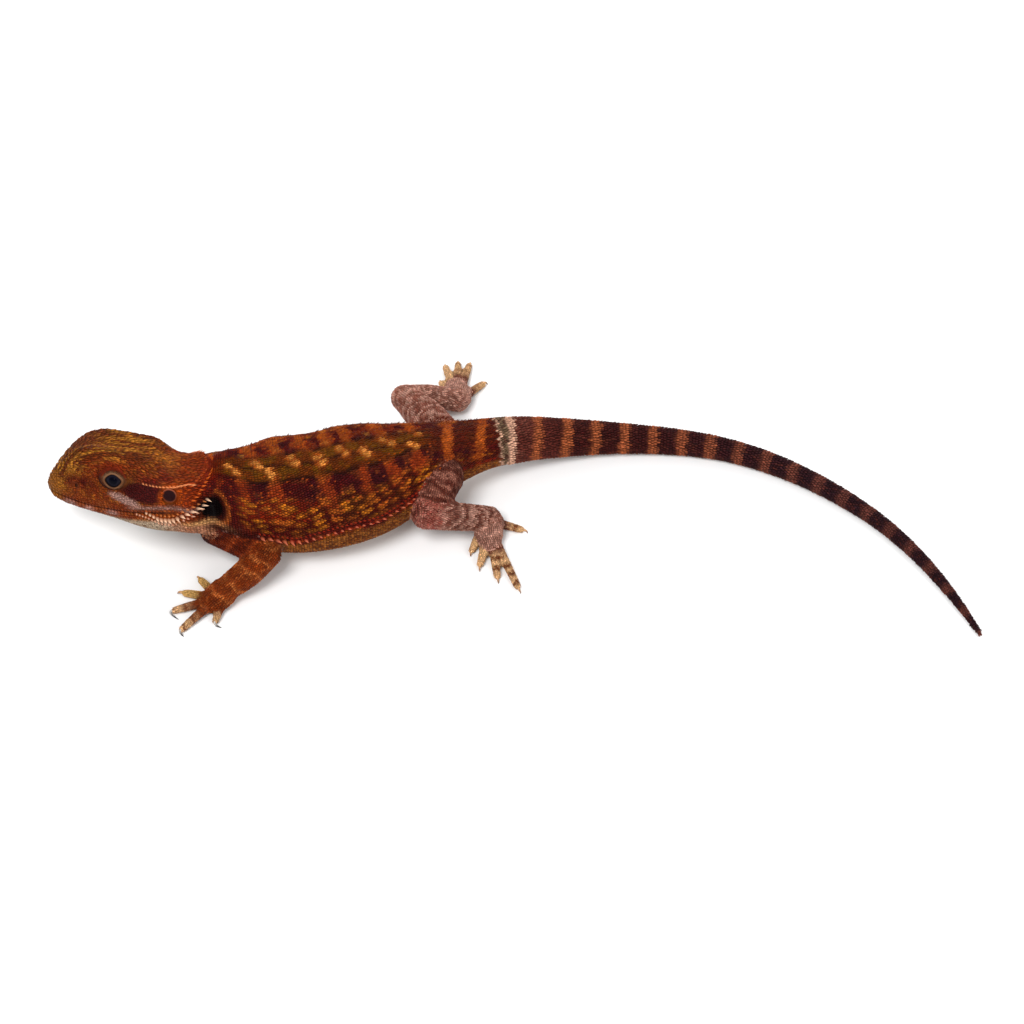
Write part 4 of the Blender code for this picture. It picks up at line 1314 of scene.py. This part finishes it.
def beard_size(along):
    """(base, height) of the beard's spikes, which are largest behind the jaw's corner."""
    size, middle = ease(along, (21.5, 26)), hump(along, 26.2, 3.2)
    return 0.32 + 0.1 * size + 0.1 * middle, 0.6 + 0.58 * size + 0.35 * middle


def temple_size(along):
    """(base, height) of the spines over the ear, which grow backwards."""
    size = ease(along, (24, 29))
    return 0.27 + 0.15 * size, 0.5 + 0.4 * size


def fringe_size(along):
    """(base, height) of the flank's fringe, which is tallest behind the foreleg."""
    size = 1 - 0.8 * ease(along, (44, 54))
    return 0.26 + 0.22 * size, 0.5 + 0.95 * size


# Rows of spines on each side: first and last distance, count, what gives the turn, (base, height),
# lean in radians, colour of the tips. The turn comes from a line of heights on the head and a
# lift over it, from two ends in degrees, or from a line of degrees on the flank and a shift.
SPINE_ROWS = (
    (22.4, 32.5, 15, ("height", BEARD_ROW, 0.0), beard_size, 0.35, (244, 206, 176)),
    (20.4, 31.6, 19, ("height", BEARD_ROW, -0.85), (0.30, 0.62), 0.4, (226, 176, 150)),
    (25.2, 31.9, 10, ("height", BEARD_ROW, 0.8), (0.30, 0.6), 0.5, (214, 140, 90)),
    (21.4, 30.2, 15, ("height", TEMPLE_ROW, 0.0), temple_size, 0.9, (228, 154, 108)),
    (30.4, 33.4, 9, ("ends", 58, 12), (0.34, 0.85), 0.6, (214, 116, 52)),
    (29.2, 32.2, 9, ("ends", 50, 8), (0.28, 0.55), 0.7, (190, 96, 40)),
    (41.5, 69.0, 23, ("degrees", FRINGE_LINE, 0.0), fringe_size, 0.3, (212, 128, 100)),
    (41.0, 72.0, 40, ("degrees", FRINGE_LINE, -5.5), (0.27, 0.45), 0.6, (170, 64, 34)),
)
# Spines strewn over the back: count, first draw, length of the stretch from 36 mm on, lowest turn
# and spread of turns in degrees, (base, height), lean, colour of the tips, shade
SPINE_FIELDS = (
    (260, 0, 54, -80, 60, (0.25, 0.55), 0.45, (110, 52, 26), 0.8),
    (90, 2, 40, 15, 50, (0.26, 0.42), 0.7, (186, 96, 44), 1.0),
)


def body_spines(skin):
    """Spines of the beard, temples, nape, flanks and back, as groups."""
    groups = []

    def add(along, turn, sizes, lean, tip, seed, shade=1.0):
        colour = body_colour(along, turn) * shade * 0.75
        groups.append(set_spines(skin, along, turn, *sizes, lean, colour, linear(*tip) * 0.8, seed))

    for side in (1, -1):
        for seed, (first, last, count, (kind, line, lift), sizes, lean, tip) in enumerate(SPINE_ROWS, 1):
            along = np.linspace(first, last, count)
            if kind == "height":
                turn = turn_at(along, smooth(along, line) + lift, side)
            elif kind == "ends":
                turn = side * np.radians(np.linspace(line, lift, count))
            else:
                turn = side * np.radians(smooth(along, line) + lift)
            add(along, turn, sizes(along) if callable(sizes) else sizes, lean, tip, seed)
    for index, (count, draw, stretch, low, spread, sizes, lean, tip, shade) in enumerate(SPINE_FIELDS):
        number = np.arange(count)
        along = 36 + stretch * scatter(number, draw, 7 + 3 * index)
        turn = np.radians(low + spread * scatter(number, draw + 1, 8 + 3 * index))
        add(along, turn, sizes, lean, tip, 9 + index, shade)
    return groups


# ---- Head pieces -------------------------------------------------------------------------------

EYE_OPENING = (1.54, 1.33)     # half-length and half-height of the opening between the lids
EYE_CORNER = 0.36              # how much narrower the opening is at its corners
LID_EDGE = (3.0, 2.35)         # half-length and half-height of the lids' outer edge
LID_RING = linear(104, 64, 38)
LID_RING_ABOVE = linear(92, 50, 26)
LID_PALE = linear(132, 104, 80)
# The lids' dark edge at the opening, dark orbit and dark crease are painted shade.
LID_EDGE_SHADE = linear(14, 6, 8)
LID_ORBIT_SHADE = linear(58, 22, 12)
LID_BROW = linear(112, 46, 16)
LID_CREASE_SHADE = linear(48, 16, 8)


def lid_surface(side):
    """The lids of one eye: ellipses growing from the opening to the orbit's rim.

    `along` runs from 0 at the opening to 1 at the rim. The lid lies on the ball, bulges
    over it, and sinks under the skin at its rim. The opening narrows towards its corners.
    """
    centre, back, outward, crown = head_axes(EYE_PLACE, side)

    def surface(along, turn):
        along, turn = paired(along, turn)
        t = np.clip(along, 0, 1)
        length, height = (inner + (outer - inner) * along for inner, outer in zip(EYE_OPENING, LID_EDGE))
        x = length * np.sin(turn)
        y = height * np.cos(turn) * (1 - EYE_CORNER * (1 - t) * np.sin(turn) ** 2)
        ball = np.sqrt(np.maximum(EYE_RADIUS**2 - x**2 - y**2, 4.4))
        out = (ball + 0.1) * (1 - t**3) + 1.95 * t**3 + 0.26 * np.sin(np.pi * np.sqrt(t))
        return centre + back * x[..., None] + crown * y[..., None] + outward * out[..., None]

    return surface


def lid_colour(along, turn):
    """A dark edge at the opening and a dark orbit, both painted shade, a tan-grey ring that is browner
    above, and a dark crease above it as a painted line of shade.
    """
    along, turn = np.broadcast_arrays(along, turn)
    above = ease(np.cos(turn), (-0.2, 0.7))
    pale = 0.35 + 0.4 * above + 0.25 * ease(-np.cos(turn), (0.3, 0.9))
    return over(
        LID_RING,
        (LID_RING_ABOVE, 0.85 * above),
        (LID_PALE, pale * hump(along, 0.26, 0.22)),
        (LID_EDGE_SHADE, 1.0 - ease(along, (0.02, 0.12))),
        (LID_ORBIT_SHADE, ease(along, (0.55, 0.85))),
        (LID_BROW, 0.95 * above * ease(along, (0.46, 0.58))),
        (LID_CREASE_SHADE, 0.85 * above * hump(along, 0.42, 0.07)),
    )


def make_lids(side):
    """(rings, faces, colours) of one eye's lids, a shell closed behind by its inner face."""
    along = np.concatenate([[-0.06], np.linspace(0, 1.1, 24)])
    turn = ring_turns(96)
    outer = lid_surface(side)(along[:, None], turn[None])
    _, _, outward, _ = head_axes(EYE_PLACE, side)
    rings = np.concatenate([outer, outer[::-1] - outward * 0.3, outer[:1]])
    colours = lid_colour(np.concatenate([along, along[::-1], along[:1]])[:, None], turn)
    return rings, grid_faces(*rings.shape[:2]), colours


def lid_coat(side):
    """Fine granular scales on one eye's lids, set on the lids' outer face alone."""
    surface = lid_surface(side)
    points = surface(np.linspace(0, 1.05, 20)[:, None], ring_turns(72)[None])
    faces = grid_faces(*points.shape[:2])
    points = points.reshape(-1, 3)
    _, _, outward, _ = head_axes(EYE_PLACE, side)
    if (point_normals(points, faces) @ outward).mean() < 0:
        faces = faces[:, ::-1]
    along, turn, long, wide = lay_rows(surface, 0.2, 0.92, 0.2, 0.24, seed=50)
    return set_scales(Skin(points, faces), surface, lid_colour, (along, turn, long * 1.35, wide), 0.07,
                      0.3, overlap=1.5, seed=51)


def make_eye(side, material, name):
    """A ball whose gaze value is the angle from its axis in degrees, and a slight cornea."""
    centre, back, outward, crown = head_axes(EYE_PLACE, side)
    angle = np.linspace(0.002, np.pi - 0.002, 72)[:, None, None]
    turn = ring_turns(72)
    radius = EYE_RADIUS - 0.06 + 0.1 * hump(np.degrees(angle), 0, 26)
    points = centre + radius * (np.sin(angle) * circle(turn, back, crown) + np.cos(angle) * outward)
    gaze = np.broadcast_to(np.degrees(angle[..., 0]), points.shape[:2])
    points = closed_loft(points)
    gaze = np.concatenate([gaze[:1], gaze, gaze[-1:]])
    around = np.broadcast_to(turn * 3, gaze.shape)
    faces = outward_faces(points, grid_faces(*points.shape[:2]))
    piece = make_mesh(name, points.reshape(-1, 3), faces, material,
                      values={"gaze": gaze, "around": around})
    fit(piece, "eye", name)


# The ear drum's rings: radius, and depth out from the head's side
DRUM_RINGS = ((0.01, -0.72), (0.6, -0.68), (1.12, -0.58), (1.4, -0.46), (1.46, -0.6), (1.4, -0.8),
              (0.7, -0.95), (0.01, -1.0))
# The drum's near-black middle is painted shade at the bottom of the pit; its rim is paler.
DRUM_PIT_SHADE = linear(52, 24, 28)
DRUM_RIM = linear(150, 90, 66)


def make_drum(side, name, material):
    """The ear's drum: a shallow dish at the bottom of its pit."""
    centre, back, outward, crown = head_axes(EAR_PLACE, side)
    radius, depth = np.transpose(DRUM_RINGS)[:, :, None, None]
    turn = ring_turns(36)
    points = closed_loft(centre + radius * circle(turn, back, crown) + depth * outward)
    rim = np.concatenate([[0.0], radius.ravel(), [0.0]]).repeat(len(turn))
    # painted shade: dark in the middle, paler towards the rim
    colours = over(DRUM_PIT_SHADE, (DRUM_RIM, ease(rim, (1.1, 1.46))))
    faces = outward_faces(points, grid_faces(*points.shape[:2]))
    fit(make_mesh(name, points.reshape(-1, 3), faces, material, colours), "ear_drum", name)


# Root and tip colours of the hands' outer claws, and of all others
DARK_CLAW = (linear(180, 176, 172), linear(70, 66, 68))
TAN_CLAW = (linear(190, 154, 118), linear(128, 92, 66))
CLAW_HEIGHTS = (0.62, 1.0, 0.10)


def make_claws(name, digits, material):
    """Five curved claws: round tubes that shrink along an arc from inside each digit's tip.

    The arc is a quadratic curve of three control points: inside the digit, ahead, and the tip.
    """
    t = np.linspace(0, 1, 14)
    turn = ring_turns(12)
    girth = 0.36 if "hand" in name else 0.32
    radius = (girth * (1 - t) ** 0.6 + 0.03)[:, None, None]
    meshes = []
    for number, digit in enumerate(digits, 1):
        root, tip, point = np.array(digit)
        ahead = unit(tip - root)
        start = tip + ahead * 0.3
        bend = start + ahead * 0.75 * np.linalg.norm(point - start)
        a, b, c = (np.array((*where, high)) for where, high in zip((start, bend, point), CLAW_HEIGHTS))
        line = ((1 - t)**2)[:, None] * a + (2 * t * (1 - t))[:, None] * b + (t**2)[:, None] * c
        tangent = unit(np.gradient(line, axis=0))
        side = unit(np.cross(tangent, (0, 0, 1.0)))
        around = circle(turn, side[:, None] * 0.75, np.cross(side, tangent)[:, None])
        loft = closed_loft(line[:, None] + radius * around)
        loft[..., 2] = np.maximum(loft[..., 2], FLOOR_GAP)
        tone = np.concatenate([[0], t, [1]])
        pale, dark = DARK_CLAW if "hand" in name and number > 2 else TAN_CLAW
        colours = over(pale, (dark, ease(tone, (0.25, 0.85)))).repeat(len(turn), axis=0)
        meshes.append((loft, outward_faces(loft, grid_faces(*loft.shape[:2])), colours))
    points, faces, colours = joined(meshes)
    piece = make_mesh(f"claws_{name}", points, faces, material, colours)
    fit(piece, "claw", *[f"claw_{name}_{number}" for number in range(1, 6)])


# ---- The camera and the studio -----------------------------------------------------------------

CAMERA_TILT = 48.0             # degrees above the floor
CAMERA_AIM = (38.8, 2.7, 0.0)
CAMERA_RANGE = 483.0
FLOOR_SIDE = 6.0               # half the floor's side, in metres
# Lamps, in metres and watts: name, place, size, power
LAMPS = (
    ("key_lamp", (-0.2, -0.4, 0.75), 0.35, 5.8),
    ("fill_lamp", (0.6, -0.5, 0.5), 0.5, 2.5),
    ("back_lamp", (0.1, 0.7, 0.55), 0.5, 3.0),
    ("eye_light", (-0.14, -0.56, 0.21), 0.07, 0.2),
)
LAMP_AIM = Vector((0.0388, 0.0, 0.0))


def make_camera():
    """A portrait lens on the left side, looking down on the middle of the model."""
    tilt = np.radians(CAMERA_TILT)
    lens = bpy.data.cameras.new("camera")
    lens.lens = 85.0
    lens.sensor_width = 36.0
    lens.clip_start = 0.01
    lens.clip_end = 20.0
    camera = bpy.data.objects.new("camera", lens)
    away = Vector((0, -np.cos(tilt), np.sin(tilt)))
    camera.location = Vector(CAMERA_AIM) * MM + away * CAMERA_RANGE * MM
    camera.rotation_euler = (np.pi / 2 - tilt, 0, 0)
    bpy.context.scene.collection.objects.link(camera)
    bpy.context.scene.camera = camera


def make_studio():
    """A pale floor, a pale room, three broad soft lamps, and a small one for the eye's glint."""
    mesh = bpy.data.meshes.new("floor")
    far = FLOOR_SIDE
    mesh.from_pydata([(-far, -far, 0), (far, -far, 0), (far, far, 0), (-far, far, 0)], [],
                     [(0, 1, 2, 3)])
    floor = bpy.data.objects.new("floor", mesh)
    material, shader = new_finish("pale_floor")
    set_inputs(shader, {"Base Color": (0.9, 0.9, 0.9, 1), "Roughness": 0.9})
    mesh.materials.append(material)
    bpy.context.scene.collection.objects.link(floor)
    world = bpy.data.worlds.new("room")
    world.use_nodes = True
    set_inputs(world.node_tree.nodes["Background"], {"Color": (1.0, 1.0, 1.0, 1), "Strength": 0.5})
    bpy.context.scene.world = world
    bpy.context.scene.view_settings.view_transform = "Standard"
    for name, place, size, power in LAMPS:
        lamp = bpy.data.lights.new(name, "AREA")
        lamp.size = size
        lamp.energy = power
        holder = bpy.data.objects.new(name, lamp)
        holder.location = Vector(place)
        holder.rotation_euler = (LAMP_AIM - holder.location).to_track_quat("-Z", "Y").to_euler()
        bpy.context.scene.collection.objects.link(holder)


# ---- The whole model ---------------------------------------------------------------------------

def main():
    """The studio, then the skin and its coat, and then the eyes, ear drums and claws."""
    make_camera()
    make_studio()
    hide, scales, tail_scales, pale_scales, plates, horn, membrane = (
        marked_finish(*finish) for finish in FINISHES)
    tubes = limb_tubes()
    points, faces, colours = make_skin(tubes, hide)
    skin = Skin(points, faces)
    # painted shade: the skin that shows between the scales is darkened to 0.4 of its markings
    whole = joined([(points, faces, colours * 0.4)] + [make_lids(side) for side in (1, -1)])
    flesh = [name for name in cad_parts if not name.startswith(("eye", "ear", "claw"))]
    fit(make_mesh("skin", whole[0], whole[1], hide, whole[2]), "body_skin", *flesh)

    for name in BODY_COATS:
        if name == "tail_coat":
            body_coat(skin, name, tail_scales, "tail_skin")
        else:
            body_coat(skin, name, scales)
    for side in ("left", "right"):
        limb_coat(skin, tubes, f"{side}_arm_scales", (f"arm_{side}", f"hand_{side}"), scales)
    for side in ("left", "right"):
        limb_coat(skin, tubes, f"{side}_leg_scales", (f"thigh_{side}", f"shin_{side}", f"foot_{side}"),
                  pale_scales, "hind_leg_skin")
    coat_piece("lip_plates", lip_plates(skin, 1) + lip_plates(skin, -1), plates)
    coat_piece("spines", body_spines(skin), scales, form=SPINE_PATCH, margin=0.03)
    coat_piece("lid_scales", [lid_coat(1), lid_coat(-1)], scales)

    glossy = eye_finish()
    for side, word in ((1, "left"), (-1, "right")):
        make_eye(side, glossy, f"eye_{word}")
        make_drum(side, f"ear_{word}", membrane)
    for name, (_, digits) in all_feet().items():
        make_claws(name, digits, horn)


main()
